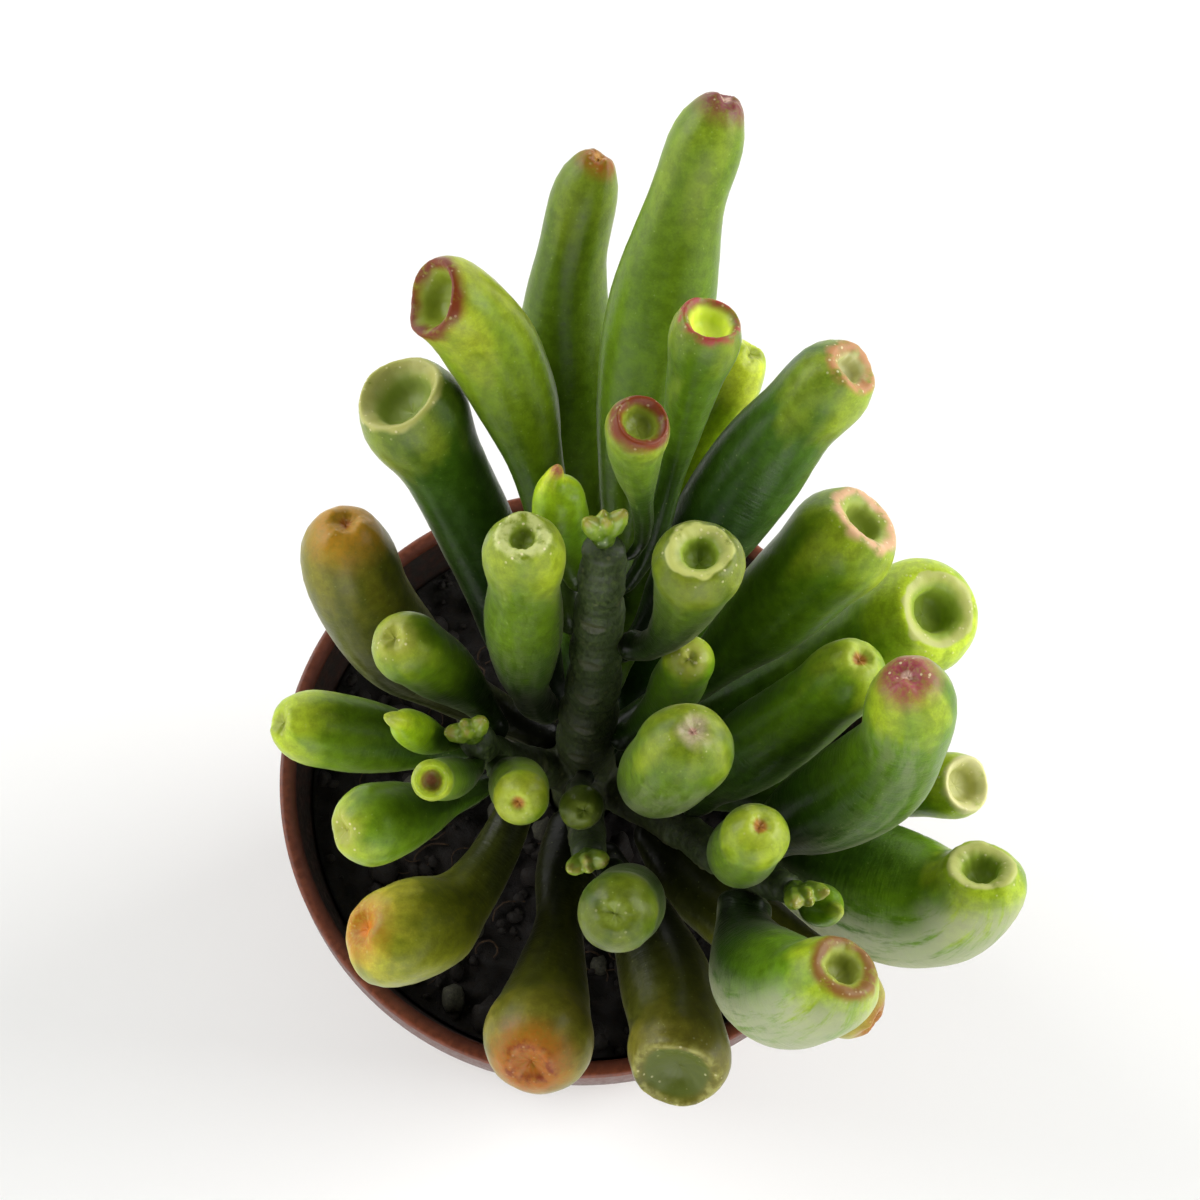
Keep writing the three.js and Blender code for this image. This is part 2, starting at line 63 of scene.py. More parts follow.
# What closes a leaf. cap: tone, reach from the middle in mm; ring: tone, width outside and inside
# the lip in mm, share that is there; eye: tone of the cup; heart: tone and radius of the middle dot
# in mm; specks: how clearly pale glands show by the lip.
USUAL_SPECKS = 0.2
TIPS = {
    "wine_cap": {"cap": ("#6e2430", 2.2), "heart": ("#c9a898", 0.6), "specks": 0.6},
    "wine_crown": {"cap": ("#93404a", 2.3), "heart": ("#cfae9c", 0.5), "specks": 0.9},
    "rust_cap": {"cap": ("#8a5014", 1.8), "heart": ("#b0803a", 0.6)},
    "amber_cap": {"cap": ("#a86c12", 2.6), "heart": ("#c4751c", 0.9)},
    "tawny_cap": {"cap": ("#a87a1e", 3.4), "heart": ("#96581a", 0.7)},
    "ember_cap": {"cap": ("#a05c16", 3.2), "ring": ("#74300f", 0.7, 0.8, 0.55), "specks": 0.15},
    "red_ring": {"ring": ("#6a2d10", 1.0, 0.9, 0.9), "eye": "#8a9832", "specks": 0.3},
    "rose_ring": {"ring": ("#8f3634", 0.5, 0.6, 0.7), "eye": "#dcea58", "specks": 0.4},
    "blush_ring": {"ring": ("#ad7c50", 0.6, 0.9, 0.8), "eye": "#cbcb94", "specks": 0.8},
    "cream_ring": {"ring": ("#b4b868", 0.2, 0.9, 1.0), "eye": "#8ba036", "specks": 0.6},
    "pale_cup": {"ring": ("#cfcb90", 0.5, 1.2, 1.0), "eye": "#c3c47c", "specks": 0.9},
    "olive_ring": {"ring": ("#a3a25c", 0.5, 1.5, 1.0), "eye": "#94a450", "specks": 0.6},
    "brown_ring": {"ring": ("#7c5626", 0.7, 0.7, 0.9), "eye": "#98a046", "specks": 0.3},
    "dish_ring": {"ring": ("#8c8a48", 0.6, 0.5, 0.5), "eye": "#525c1e", "specks": 0.5},
    "pink_point": {"cap": ("#a35a44", 0.9), "specks": 0.1},
    "dot": {"cap": ("#a3b03c", 1.4), "heart": ("#a4702e", 0.7)},
    "russet_dot": {"cap": ("#8a6a34", 0.9), "heart": ("#8f5c3c", 0.5)},
    "lilac_dot": {"cap": ("#aa9e7c", 1.2), "heart": ("#b08a78", 0.4), "specks": 0.6},
    "speckled": {"cap": ("#9c9f42", 1.6), "specks": 0.8},
    "plain": {"cap": ("#95a03e", 1.0)},
    # A darker cap: painted shade for tips that lie in the shade of other leaves.
    "dim": {"cap": ("#6f7d2a", 1.0)},
    "white_ring": {"ring": ("#bcc27c", 0.4, 0.9, 0.7), "eye": "#8c9e36", "specks": 1.0},
    "peach_ring": {"ring": ("#c9a07a", 0.6, 0.7, 0.9), "eye": "#98a648", "specks": 0.6},
}

# Each leaf's green and tip, how much pale wax and painted reflection its side turned to the ground and
# front wears, and how light its green is (set low as painted shade deep in the crowd).
LEAVES = {
    "main_01": ("even", "wine_cap", 0.1, 1.15),
    "main_02": ("even", "rust_cap", 0.15, 0.95),
    "main_03": ("lime", "red_ring", 0.15, 0.75),
    "main_04": ("deep", "olive_ring", 0.15, 0.72),
    "main_05": ("green", "rose_ring", 0.1, 0.64),
    "main_06": ("fresh", "red_ring", 0.1, 0.64),
    "main_07": ("lime", "plain", 0.1, 1.2),
    "main_08": ("deep", "blush_ring", 0.3, 1.1),
    "main_09": ("green", "peach_ring", 0.2, 0.95),
    "main_10": ("fresh", "cream_ring", 0.1, 0.42),
    "main_11": ("fresh", "cream_ring", 0.2, 1.3),
    "main_12": ("fresh", "white_ring", 0.2, 0.66),
    "main_13": ("lime", "pink_point", 0.1, 1.4),
    "main_14": ("olive", "tawny_cap", 0.3, 0.62),
    "main_15": ("deep", "dim", 0.1, 0.4),
    "main_16": ("olive", "ember_cap", 0.4, 0.62),
    "main_17": ("green", "speckled", 0.2, 1.2),
    "main_18": ("green", "rust_cap", 0.2, 1.0),
    "main_19": ("deep", "cream_ring", 0.2, 1.0),
    "left_01": ("olive", "amber_cap", 0.5, 1.6),
    "left_02": ("fresh", "speckled", 0.2, 0.7),
    "left_03": ("lime", "plain", 0.1, 1.3),
    "left_04": ("fresh", "russet_dot", 0.1, 0.85),
    "left_05": ("lime", "dot", 0.1, 0.65),
    "left_06": ("fresh", "plain", 0.3, 1.1),
    "left_07": ("fresh", "speckled", 0.3, 0.95),
    "front_01": ("olive", "dish_ring", 0.2, 0.45),
    "front_02": ("green", "dim", 0.15, 0.34),
    "right_01": ("fresh", "dot", 0.1, 0.75),
    "right_02": ("fresh", "lilac_dot", 0.3, 0.6),
    "right_03": ("green", "wine_crown", 0.4, 0.95),
    "right_04": ("green", "dot", 0.2, 1.15),
    "right_05": ("fresh", "pale_cup", 0.2, 1.3),
    "right_06": ("green", "cream_ring", 1.0, 1.1),
    "right_07": ("green", "brown_ring", 1.0, 1.1),
    "right_08": ("olive", "rust_cap", 0.3, 1.0),
    "right_09": ("fresh", "plain", 0.1, 1.1),
}


def tone(code, light=1.0):
    """A tone such as "#61801c" as linear red, green, blue and alpha, made lighter or darker."""
    shares = [int(code[i : i + 2], 16) / 255 for i in (1, 3, 5)]
    linear = [s / 12.92 if s <= 0.04045 else ((s + 0.055) / 1.055) ** 2.4 for s in shares]
    return (*(light * share for share in linear), 1.0)


# ---- materials: the shared tools


class Paint:
    """One material, its colour so far, and short ways to add nodes.

    Noise and dots take their scale in cells per millimetre.
    """

    def __init__(self, name, specular=0.5):
        self.material = bpy.data.materials.new(name)
        self.material.use_nodes = True
        self.tree = self.material.node_tree
        self.shader = self.tree.nodes["Principled BSDF"]
        self.set(Specular_IOR_Level=specular)

    def feed(self, socket, value):
        if isinstance(value, bpy.types.NodeSocket):
            self.tree.links.new(value, socket)
        else:
            socket.default_value = value

    def node(self, kind, output, inputs, **settings):
        made = self.tree.nodes.new("ShaderNode" + kind)
        for key, value in settings.items():
            setattr(made, key, value)
        for key, value in inputs.items():
            self.feed(made.inputs[key], value)
        return made.outputs[output]

    def attribute(self, name, output="Fac"):
        return self.node("Attribute", output, {}, attribute_name=name)

    def place(self):
        """The object's own coordinates, in millimetres."""
        return self.stretch(self.node("TexCoord", "Object", {}), (1 / MM,) * 3)

    def stretch(self, vector, by):
        return self.node("VectorMath", "Vector", {0: vector, 1: by}, operation="MULTIPLY")

    def math(self, operation, a, b=0.0, clamp=False):
        return self.node("Math", "Value", {0: a, 1: b}, operation=operation, use_clamp=clamp)

    def plus(self, a, b):
        return self.math("ADD", a, b)

    def times(self, a, b):
        return self.math("MULTIPLY", a, b)

    def step(self, value, low, high, to_low=0.0, to_high=1.0):
        """Smoothly from to_low at low to to_high at high."""
        inputs = {"Value": value, "From Min": low, "From Max": high, "To Min": to_low, "To Max": to_high}
        return self.node("MapRange", "Result", inputs, interpolation_type="SMOOTHSTEP")

    def noise(self, vector, scale, detail, roughness=0.5):
        inputs = {"Vector": vector, "Scale": scale, "Detail": detail, "Roughness": roughness}
        return self.node("TexNoise", "Fac", inputs)

    def dots(self, vector, scale, radius, share):
        """Small round dots, one in each cell of a share of the cells."""
        cell = self.node("TexVoronoi", "Distance", {"Vector": vector, "Scale": scale})
        chosen = self.node("SeparateColor", "Red", {"Color": cell.node.outputs["Color"]})
        there = self.math("LESS_THAN", chosen, share)
        return self.times(self.step(cell, radius, 0.5 * radius), there)

    def mix(self, share, a, b, blend="MIX"):
        made = self.tree.nodes.new("ShaderNodeMix")
        made.data_type = "RGBA"
        made.blend_type = blend
        for key, value in (("Factor_Float", share), ("A_Color", a), ("B_Color", b)):
            self.feed(next(s for s in made.inputs if s.identifier == key), value)
        return next(s for s in made.outputs if s.identifier == "Result_Color")

    def cover(self, share, code):
        """Lays a share of a tone over the colour."""
        self.colour = self.mix(share, self.colour, tone(code))

    def shade(self, value):
        """Makes the colour darker or lighter."""
        grey = self.node("CombineColor", "Color", dict.fromkeys(("Red", "Green", "Blue"), value))
        self.colour = self.mix(1.0, self.colour, grey, "MULTIPLY")

    def ramp(self, value, stops, light=1.0):
        """Tones that run into each other, each at its own value."""
        made = self.tree.nodes.new("ShaderNodeValToRGB")
        self.tree.links.new(value, made.inputs["Fac"])
        elements = made.color_ramp.elements
        while len(elements) < len(stops):
            elements.new(1.0)
        for element, (position, code) in zip(elements, stops.items()):
            element.position = position
            element.color = tone(code, light)
        return made.outputs["Color"]

    def bump(self, height, strength, distance_mm):
        """Relief over the relief that is there already."""
        inputs = {"Height": height, "Strength": strength, "Distance": distance_mm * MM}
        if self.shader.inputs["Normal"].is_linked:
            inputs["Normal"] = self.shader.inputs["Normal"].links[0].from_socket
        self.set(Normal=self.node("Bump", "Normal", inputs))

    def set(self, **values):
        """Inputs of the shader, each as a plain value or as another node's output."""
        for key, value in values.items():
            self.feed(self.shader.inputs[key.replace("_", " ")], value)

    def finish(self, roughness):
        """The material, with its colour and a roughness."""
        self.set(Base_Color=self.colour, Roughness=roughness)
        return self.material


# ---- materials: the leaves

FLESH_RADIUS = (0.9, 1.0, 0.35)  # how far red, green and blue light travels in the flesh
GREEN_PLACES = (0.08, 0.42, 0.8, 0.98)  # where a leaf's four greens lie, as shares of its length
GREEN_DRIFT = 0.13  # of its length, by which broad patches shift them
BLOOM_AND_GLARE_SIDE = (-0.15, -0.72, -0.68)  # the ground and the front
BLOOM_AND_GLARE_COVER = 0.75
BLOOM_AND_GLARE_DULLS = 0.2  # roughness that full bloom adds
LIP_WANDER = 0.3  # mm that the edges of a ring or cap wander
GLAND_LINE = 0.3  # mm inside the lip
GLANDS_FADE = (1.9, 0.7)  # mm from that line where glands end, and where they are full


def bloom_and_painted_glare(paint, straight, wax_and_glare):
    """Pale wax bloom and painted reflection of the bright ground and front, on the side turned to them,
    rubbed off in streaks.
    """
    normal = paint.node("NewGeometry", "Normal", {})
    # The side whose normal faces the ground and front takes the pale tone: real wax bloom, and painted
    # reflection of the bright ground and front.
    faces_ground_and_front = paint.node("VectorMath", "Value", {0: normal, 1: BLOOM_AND_GLARE_SIDE}, operation="DOT_PRODUCT")
    faces_ground_and_front = paint.step(faces_ground_and_front, 0.5 - 0.95 * wax_and_glare, 0.95 - 0.65 * wax_and_glare)
    streaks = paint.noise(paint.stretch(straight, (1, 1, 0.25)), 0.75, 5, 0.7)
    streaks = paint.step(streaks, 0.42 - 0.13 * wax_and_glare, 0.68 - 0.15 * wax_and_glare)
    return paint.times(paint.times(streaks, faces_ground_and_front), BLOOM_AND_GLARE_COVER * wax_and_glare)


def colour_tip(paint, look, spot, lip, middle):
    """Lays on the tip's cap, cup, ring and middle dot, all with wandering edges."""
    wander = paint.noise(spot, 0.5, 1.5, 0.4)
    edge = paint.step(wander, 0.25, 0.75, -LIP_WANDER, LIP_WANDER)
    if "cap" in look:
        cap, reach = look["cap"]
        blush = paint.step(paint.plus(middle, edge), 1.9 * reach, 0.6 * reach)
        patchy = paint.step(paint.noise(spot, 2.6, 4, 0.7), 0.3, 0.6, 0.55, 1.0)
        paint.cover(paint.times(blush, patchy), cap)
    if "eye" in look:
        paint.cover(paint.step(lip, 0.2, 1.2), look["eye"])
    if "ring" in look:
        ring, outside, inside, there = look["ring"]
        beyond = paint.plus(lip, edge)
        band = paint.times(
            paint.step(beyond, -1.7 * outside, -0.3 * outside),
            paint.step(beyond, 1.6 * inside, 0.4 * inside),
        )
        torn = paint.step(paint.noise(spot, 0.9, 4, 0.6), 0.65 - 0.5 * there, 0.95 - 0.5 * there)
        paint.cover(paint.times(band, torn), ring)
    if "heart" in look:
        heart, radius = look["heart"]
        core = paint.plus(middle, paint.times(edge, 0.4))
        paint.cover(paint.step(core, 1.3 * radius, 0.5 * radius), heart)


def leaf_material(name, seed, green, tip, wax_and_glare, light):
    look = TIPS[tip]
    specks = look.get("specks", USUAL_SPECKS)
    paint = Paint(name, 0.22)
    paint.set(Subsurface_Weight=0.25, Subsurface_Radius=FLESH_RADIUS, Subsurface_Scale=1.3 * MM)
    paint.set(Sheen_Weight=0.1, Sheen_Roughness=0.3, Sheen_Tint=tone("#fbf6dc"))
    moved = {0: paint.attribute("straight", "Vector"), 1: (seed, 3.1 * seed, 0)}
    straight = paint.node("VectorMath", "Vector", moved)
    spot = paint.place()
    along, lip, middle = map(paint.attribute, ("along", "lip", "middle"))

    # Greens from the dark root to the light tip: partly the leaf's own colour, partly painted shade low
    # down and painted light at the tip.
    broad = paint.noise(paint.stretch(straight, (1, 1, 0.4)), 0.22, 3)
    share = paint.plus(along, paint.step(broad, 0.25, 0.75, -GREEN_DRIFT, GREEN_DRIFT))
    # Each leaf's lightness scales its greens: set low as painted shade for leaves deep in the crowd.
    paint.colour = paint.ramp(share, dict(zip(GREEN_PLACES, GREENS[green])), light)

    # Cells of the skin, darker and lighter, and the pale dots of its pores.
    mottle = paint.noise(spot, 0.9, 4, 0.6)
    grain = paint.noise(spot, 5.0, 3, 0.6)
    cells = paint.times(paint.step(mottle, 0.3, 0.7, 0.8, 1.16), paint.step(grain, 0.3, 0.7, 0.92, 1.07))
    paint.shade(cells)
    pores = paint.times(paint.dots(spot, 1.9, 0.2, 0.4), paint.step(mottle, 0.4, 0.65, 0.02, 0.22))
    paint.cover(pores, "#b4c07a")

    bloom_and_glare = bloom_and_painted_glare(paint, straight, wax_and_glare)
    # Pale wax bloom and painted reflection on the side turned to the ground and front.
    paint.cover(bloom_and_glare, "#9a9c80")
    colour_tip(paint, look, spot, lip, middle)
    from_line = paint.math("ABSOLUTE", paint.math("SUBTRACT", lip, GLAND_LINE))
    glands = paint.times(paint.dots(spot, 1.6, 0.26, 0.6), paint.step(from_line, *GLANDS_FADE))
    paint.cover(paint.times(glands, 0.8 * specks), "#d9d2a4")
    gloss = paint.step(mottle, 0.3, 0.7, 0.29, 0.41)
    paint.bump(mottle, 0.35, 0.12)
    paint.bump(grain, 0.3, 0.04)
    paint.bump(paint.times(glands, specks), 0.5, 0.08)
    wrinkles = paint.noise(paint.stretch(straight, (0.35, 0.35, 2.4)), 1.0, 3, 0.6)
    wrinkles = paint.times(wrinkles, paint.step(along, 0.9, 0.5))
    paint.bump(wrinkles, 0.4, 0.08 + 0.25 * wax_and_glare)
    return paint.finish(paint.plus(gloss, paint.times(bloom_and_glare, BLOOM_AND_GLARE_DULLS)))


# ---- materials: stem, soil, pot

SPLASHED = (16, 2)  # mm above the ground where splashes on the pot end, and where they are full
DUSTED = (14, 0)


def bark_material():
    paint = Paint("stem bark")
    paint.set(Subsurface_Weight=0.08, Subsurface_Radius=FLESH_RADIUS, Subsurface_Scale=0.5 * MM)
    spot = paint.place()
    fine = paint.noise(paint.stretch(spot, (1, 1, 0.4)), 2.6, 4, 0.65)
    # Old and young bark tones: the bark's own dark green-brown, made darker still as painted shade of the
    # leaves above the stem.
    old = paint.ramp(fine, {0.25: "#1a1b0b", 0.5: "#2d3014", 0.78: "#484b24"})
    green = paint.ramp(fine, {0.25: "#19230a", 0.5: "#2b3a0f", 0.78: "#46561c"})
    patches = paint.step(paint.noise(spot, 0.35, 4, 0.6), 0.3, 0.7, -0.25, 0.25)
    young = paint.math("ADD", paint.attribute("young"), patches, clamp=True)
    paint.colour = paint.mix(young, old, green)
    growth = paint.node("CombineXYZ", "Vector", {"Z": paint.attribute("growth")})
    wave = {"Vector": growth, "Scale": 0.25, "Distortion": 1.2}
    rings = paint.node("TexWave", "Fac", wave, bands_direction="Z")
    paint.cover(paint.step(rings, 0.75, 1.0, 0.0, 0.22), "#1e200c")
    lenticels = paint.dots(spot, 0.9, 0.22, 0.3)
    paint.cover(paint.times(lenticels, 0.3), "#6f6f42")
    scars = paint.step(paint.attribute("scar"), 0.15, 0.7, 0.0, 0.5)
    paint.cover(scars, "#3f4020")
    paint.bump(fine, 0.6, 0.12)
    paint.bump(rings, 0.4, 0.1)
    return paint.finish(paint.step(fine, 0.2, 0.8, 0.45, 0.75))


def young_leaf_material():
    paint = Paint("young leaves")
    paint.set(Subsurface_Weight=0.4, Subsurface_Radius=FLESH_RADIUS, Subsurface_Scale=0.9 * MM)
    paint.set(Coat_Weight=0.1, Coat_Roughness=0.25)
    spot = paint.place()
    mottle = paint.noise(spot, 1.2, 4, 0.6)
    share = paint.plus(paint.attribute("along"), paint.step(mottle, 0.3, 0.7, -0.1, 0.1))
    paint.colour = paint.ramp(share, {0.05: "#2e3f0b", 0.45: "#5a7514", 0.85: "#869c2a", 0.98: "#8f8a32"})
    dots = paint.dots(spot, 1.9, 0.22, 0.35)
    paint.cover(paint.times(dots, 0.4), "#d5dba4")
    paint.bump(mottle, 0.3, 0.08)
    return paint.finish(paint.step(mottle, 0.3, 0.7, 0.3, 0.45))


def soil_material():
    paint = Paint("moist peat", 0.3)
    spot = paint.place()
    crumbs = paint.noise(spot, 1.4, 6, 0.7)
    patches = paint.noise(spot, 0.12, 3)
    paint.colour = paint.ramp(crumbs, {0.25: "#080605", 0.5: "#130e0a", 0.68: "#211912", 0.85: "#35291d"})
    paint.cover(paint.step(patches, 0.45, 0.7, 0.0, 0.35), "#1d1712")
    paint.bump(crumbs, 0.8, 0.5)
    paint.bump(paint.noise(spot, 6.0, 3, 0.7), 0.6, 0.15)
    return paint.finish(paint.step(crumbs, 0.3, 0.8, 0.65, 0.95))


def crumb_material():
    paint = Paint("peat crumbs", 0.3)
    fine = paint.noise(paint.place(), 3.5, 5, 0.7)
    dark = paint.ramp(fine, {0.3: "#0a0705", 0.55: "#19130d", 0.8: "#2e2419"})
    pale = paint.ramp(fine, {0.3: "#24231b", 0.55: "#403f32", 0.8: "#625f4e"})
    paint.colour = paint.mix(paint.attribute("kind"), dark, pale)
    paint.bump(fine, 0.8, 0.2)
    return paint.finish(paint.step(fine, 0.3, 0.8, 0.6, 0.95))


def fibre_material():
    paint = Paint("peat fibres", 0.3)
    fine = paint.noise(paint.place(), 2.0, 4, 0.7)
    paint.colour = paint.ramp(fine, {0.3: "#20160d", 0.55: "#3a2a1a", 0.8: "#5c4932"})
    paint.bump(fine, 0.6, 0.05)
    return paint.finish(0.8)


def pot_material():
    paint = Paint("nursery pot plastic", 0.4)
    spot = paint.place()
    height = paint.node("SeparateXYZ", "Z", {0: spot})
    cloud = paint.noise(spot, 0.08, 4, 0.6)
    fine = paint.noise(spot, 1.6, 5, 0.65)
    drawn = paint.noise(paint.stretch(spot, (1, 1, 0.06)), 1.5, 3, 0.6)
    paint.colour = paint.ramp(cloud, {0.3: "#401a0d", 0.5: "#451c0e", 0.72: "#4b2011"})
    paint.shade(paint.step(fine, 0.3, 0.7, 0.88, 1.1))
    paint.cover(paint.step(drawn, 0.55, 0.8, 0.0, 0.18), "#704334")
    # Rubbed paler along the brim and foot, the brim's paler edge partly a painted highlight; splashed and
    # dusted low down; and darker inside, partly soil stain and partly painted shade.
    # Paler brim and foot edges: wear, and on the brim a painted highlight.
    rub_and_brim_highlight = paint.times(paint.attribute("edge"), paint.step(fine, 0.35, 0.65, 0.4, 1.0))
    paint.cover(paint.times(rub_and_brim_highlight, 0.6), "#854222")
    splash = paint.times(paint.dots(spot, 0.45, 0.3, 0.5), paint.step(height, *SPLASHED))
    paint.cover(paint.times(splash, 0.5), "#2c2018")
    dust = paint.times(paint.step(cloud, 0.45, 0.7), paint.step(height, *DUSTED))
    paint.cover(paint.times(dust, 0.25), "#8d7a68")
    smears = paint.step(paint.noise(spot, 0.9, 5, 0.7), 0.35, 0.6, 0.6, 1.0)
    # Darker inside the pot: soil stain, and painted shade of the walls.
    soil_stain_and_shade = paint.times(paint.attribute("inner"), smears)
    paint.cover(soil_stain_and_shade, "#1a120d")
    rough = paint.step(fine, 0.3, 0.7, 0.36, 0.52)
    paint.bump(fine, 0.25, 0.05)
    paint.bump(drawn, 0.3, 0.06)
    return paint.finish(paint.plus(rough, paint.times(soil_stain_and_shade, 0.3)))


# ---- meshes: the shared tools


def make_piece(name, points, faces, material, replaced, attributes=()):
    mesh = bpy.data.meshes.new(name)
    mesh.from_pydata([tuple(p) for p in points], [], [tuple(f) for f in faces])
    mesh.update()
    return finish_piece(name, mesh, material, replaced, attributes)


def finish_piece(name, mesh, material, replaced, attributes=()):
    for key, values in dict(attributes).items():
        vector = np.ndim(values) == 2
        made = mesh.attributes.new(key, "FLOAT_VECTOR" if vector else "FLOAT", "POINT")
        made.data.foreach_set("vector" if vector else "value", np.asarray(values, float).ravel())
    mesh.materials.clear()
    mesh.materials.append(material)
    mesh.polygons.foreach_set("use_smooth", [True] * len(mesh.polygons))
    piece = linked(name, mesh)
    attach(piece, "root")
    if replaced:
        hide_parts(*replaced)
    return piece


def linked(name, data):
    """A new object in the scene."""
    thing = bpy.data.objects.new(name, data)
    bpy.context.collection.objects.link(thing)
    return thing


def turns(sides):
    return TURN * np.arange(sides) / sides


def circle(sides):
    """Points round the unit circle."""
    return np.stack([np.cos(turns(sides)), np.sin(turns(sides))], axis=1)


def tube_faces(rings, sides):
    """Faces of a skin over rings of points, closed by two poles that come after them."""
    first, top = rings * sides, (rings - 1) * sides
    faces = []
    for i in range(sides):
        j = (i + 1) % sides
        faces += [(first, j, i), (first + 1, top + i, top + j)]
        for low in range(0, top, sides):
            faces.append((low + i, low + j, low + sides + j, low + sides + i))
    return faces


def lumps(points, scale, seed, octaves=3):
    """Smooth noise at points in mm, about -1 to 1. The scale is in lumps per mm."""
    shift = Vector((7.3 * seed, 1.7 * seed, 3.9 * seed))
    return np.array([noise.fractal(Vector(p) * scale + shift, 1.0, 2.0, octaves) for p in points])


def smoothstep(value, low, high):
    share = np.clip((value - low) / (high - low), 0, 1)
    return share * share * (3 - 2 * share)


# ---- leaves

LEAF_SIDES = 10  # of the solid leaves
ROUND = 60  # points round a leaf here
AROUND = circle(ROUND)
BODY_STEPS = 7  # from one ring of the solid to the next, along the body and in the mouth
MOUTH_STEPS = 9
MOUTH_RINGS = 4
ROOT_SINKS = 0.5 * MM  # into the bark
FULL_GIRTH = 3.5  # mm: a slimmer leaf is less uneven
SWELLS = 0.11 * MM  # broad unevenness of the body
SWELL_SCALE = 0.22
RIPPLES = 0.03 * MM
RIPPLE_SCALE = 0.9
RIPPLE_SEEDS = 50  # added to the leaf's number
CUP_ROWS = 4  # a tip with fewer rows beyond its crest has no cup
CALM_ROOT = 3  # mm over which the unevenness comes up from the root
LIP_REACH = 1.2  # mm on both sides of the lip
LIP_WAVES = 0.16 * MM
LIP_TONES = 3  # waves round the lip, of 2, 3 and 4 crests
PUCKERS = 0.02 * MM
PUCKER_COUNTS = (9, 13)
PUCKERS_FULL = (1.0, 1.8)  # mm from the lip and from the middle

bark_points = np.array([v.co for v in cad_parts["stem"].data.vertices])
leaf_roots = []  # where the leaves leave the bark, in mm


def walk_round(layer):
    """The points of one ring in order."""
    ring = [min(layer, key=lambda vertex: tuple(vertex.co))]
    while len(ring) < len(layer):
        beside = (edge.other_vert(ring[-1]) for edge in ring[-1].link_edges)
        ring.append(next(vertex for vertex in beside if vertex in layer and vertex not in ring))
    return np.array([vertex.co for vertex in ring])


def turned_like(ring, last):
    """The ring started and wound so that its points lie beyond those of the last one."""
    aim = last - last.mean(0)
    ways = [np.roll(way, k, axis=0) for way in (ring, ring[::-1]) for k in range(len(ring))]
    return min(ways, key=lambda way: ((way - way.mean(0) - aim) ** 2).sum())


def leaf_rings(root, end):
    """The rings of points between a solid leaf's poles, wound the same way about its length."""
    seen, front, rings = {root, end}, [root], []
    while layer := {edge.other_vert(v) for v in front for edge in v.link_edges} - seen:
        ring = walk_round(layer)
        rings.append(turned_like(ring, rings[-1]) if rings else ring)
        seen |= layer
        front = layer
    first = rings[0] - rings[0].mean(0)
    if np.dot(np.cross(first[0], first[1]), rings[0].mean(0) - np.array(root.co)) < 0:
        rings = [np.roll(ring[::-1], 1, axis=0) for ring in rings]
    return rings


def leaf_stations(name):
    """A solid leaf's rings from root to mouth, each as its centre and two half axes, and its poles."""
    bm = bmesh.new()
    bm.from_mesh(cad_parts[name].data)
    bmesh.ops.remove_doubles(bm, verts=bm.verts, dist=WELD)
    poles = [vertex for vertex in bm.verts if len(vertex.link_edges) == LEAF_SIDES]
    poles.sort(key=lambda pole: np.linalg.norm(bark_points - np.array(pole.co), axis=1).min())
    rings = leaf_rings(*poles)
    waves = circle(LEAF_SIDES).T * 2 / LEAF_SIDES
    stations = [np.concatenate([ring.mean(0), *(waves @ (ring - ring.mean(0)))]) for ring in rings]
    root, end = (np.concatenate([np.array(pole.co), np.zeros(6)]) for pole in poles)
    bm.free()
    return np.array([root, *stations, end])


def mirrored(station):
    """The station as it goes on beyond the pole beside it, so that the skin is smooth there."""
    return np.concatenate([station[:3], -station[3:]])


def mean_radii(stations):
    return np.linalg.norm(stations[:, 3:].reshape(-1, 2, 3), axis=2).mean(1)


def skin_length(stations):
    """Distance along the skin to each station, through the rings' mean radius."""
    steps = np.linalg.norm(np.diff(stations[:, :3], axis=0), axis=1)
    return np.concatenate([[0], np.cumsum(np.hypot(steps, np.diff(mean_radii(stations))))])


def smooth_rows(values, knots, parts):
    """A smooth curve through rows of values, in parts to a span. The end rows only steer it."""
    steps = np.diff(knots)[:, None]
    slopes = np.diff(values, axis=0) / steps
    bends = (slopes[:-1] * steps[1:] + slopes[1:] * steps[:-1]) / (steps[1:] + steps[:-1])
    rows = []
    for k, count in enumerate(parts):
        h = steps[k + 1]
        for t in np.arange(count) / count:
            a, b = 2 * t**3 - 3 * t**2 + 1, t**3 - 2 * t**2 + t
            c, d = -2 * t**3 + 3 * t**2, t**3 - t**2
            rows.append(a * values[k + 1] + b * h * bends[k] + c * values[k + 2] + d * h * bends[k + 1])
    return np.array([*rows, values[-2]])


def fine_stations(stations):
    """The stations joined by a smooth curve and sampled closely."""
    knots = skin_length(stations)
    before, after = mirrored(stations[1]), mirrored(stations[-2])
    knots = np.concatenate([[-knots[1]], knots, [2 * knots[-1] - knots[-2]]])
    body_spans = len(stations) - 1 - MOUTH_RINGS
    parts = [BODY_STEPS] * body_spans + [MOUTH_STEPS] * MOUTH_RINGS
    return smooth_rows(np.array([before, *stations, after]), knots, parts)


def ring_normals(points):
    """Outward directions at the points of rings that follow each other."""
    along_skin = np.gradient(points, axis=0)
    round_skin = np.roll(points, -1, axis=1) - np.roll(points, 1, axis=1)
    normals = np.cross(round_skin, along_skin)
    return normals / (np.linalg.norm(normals, axis=2, keepdims=True) + 1e-12)


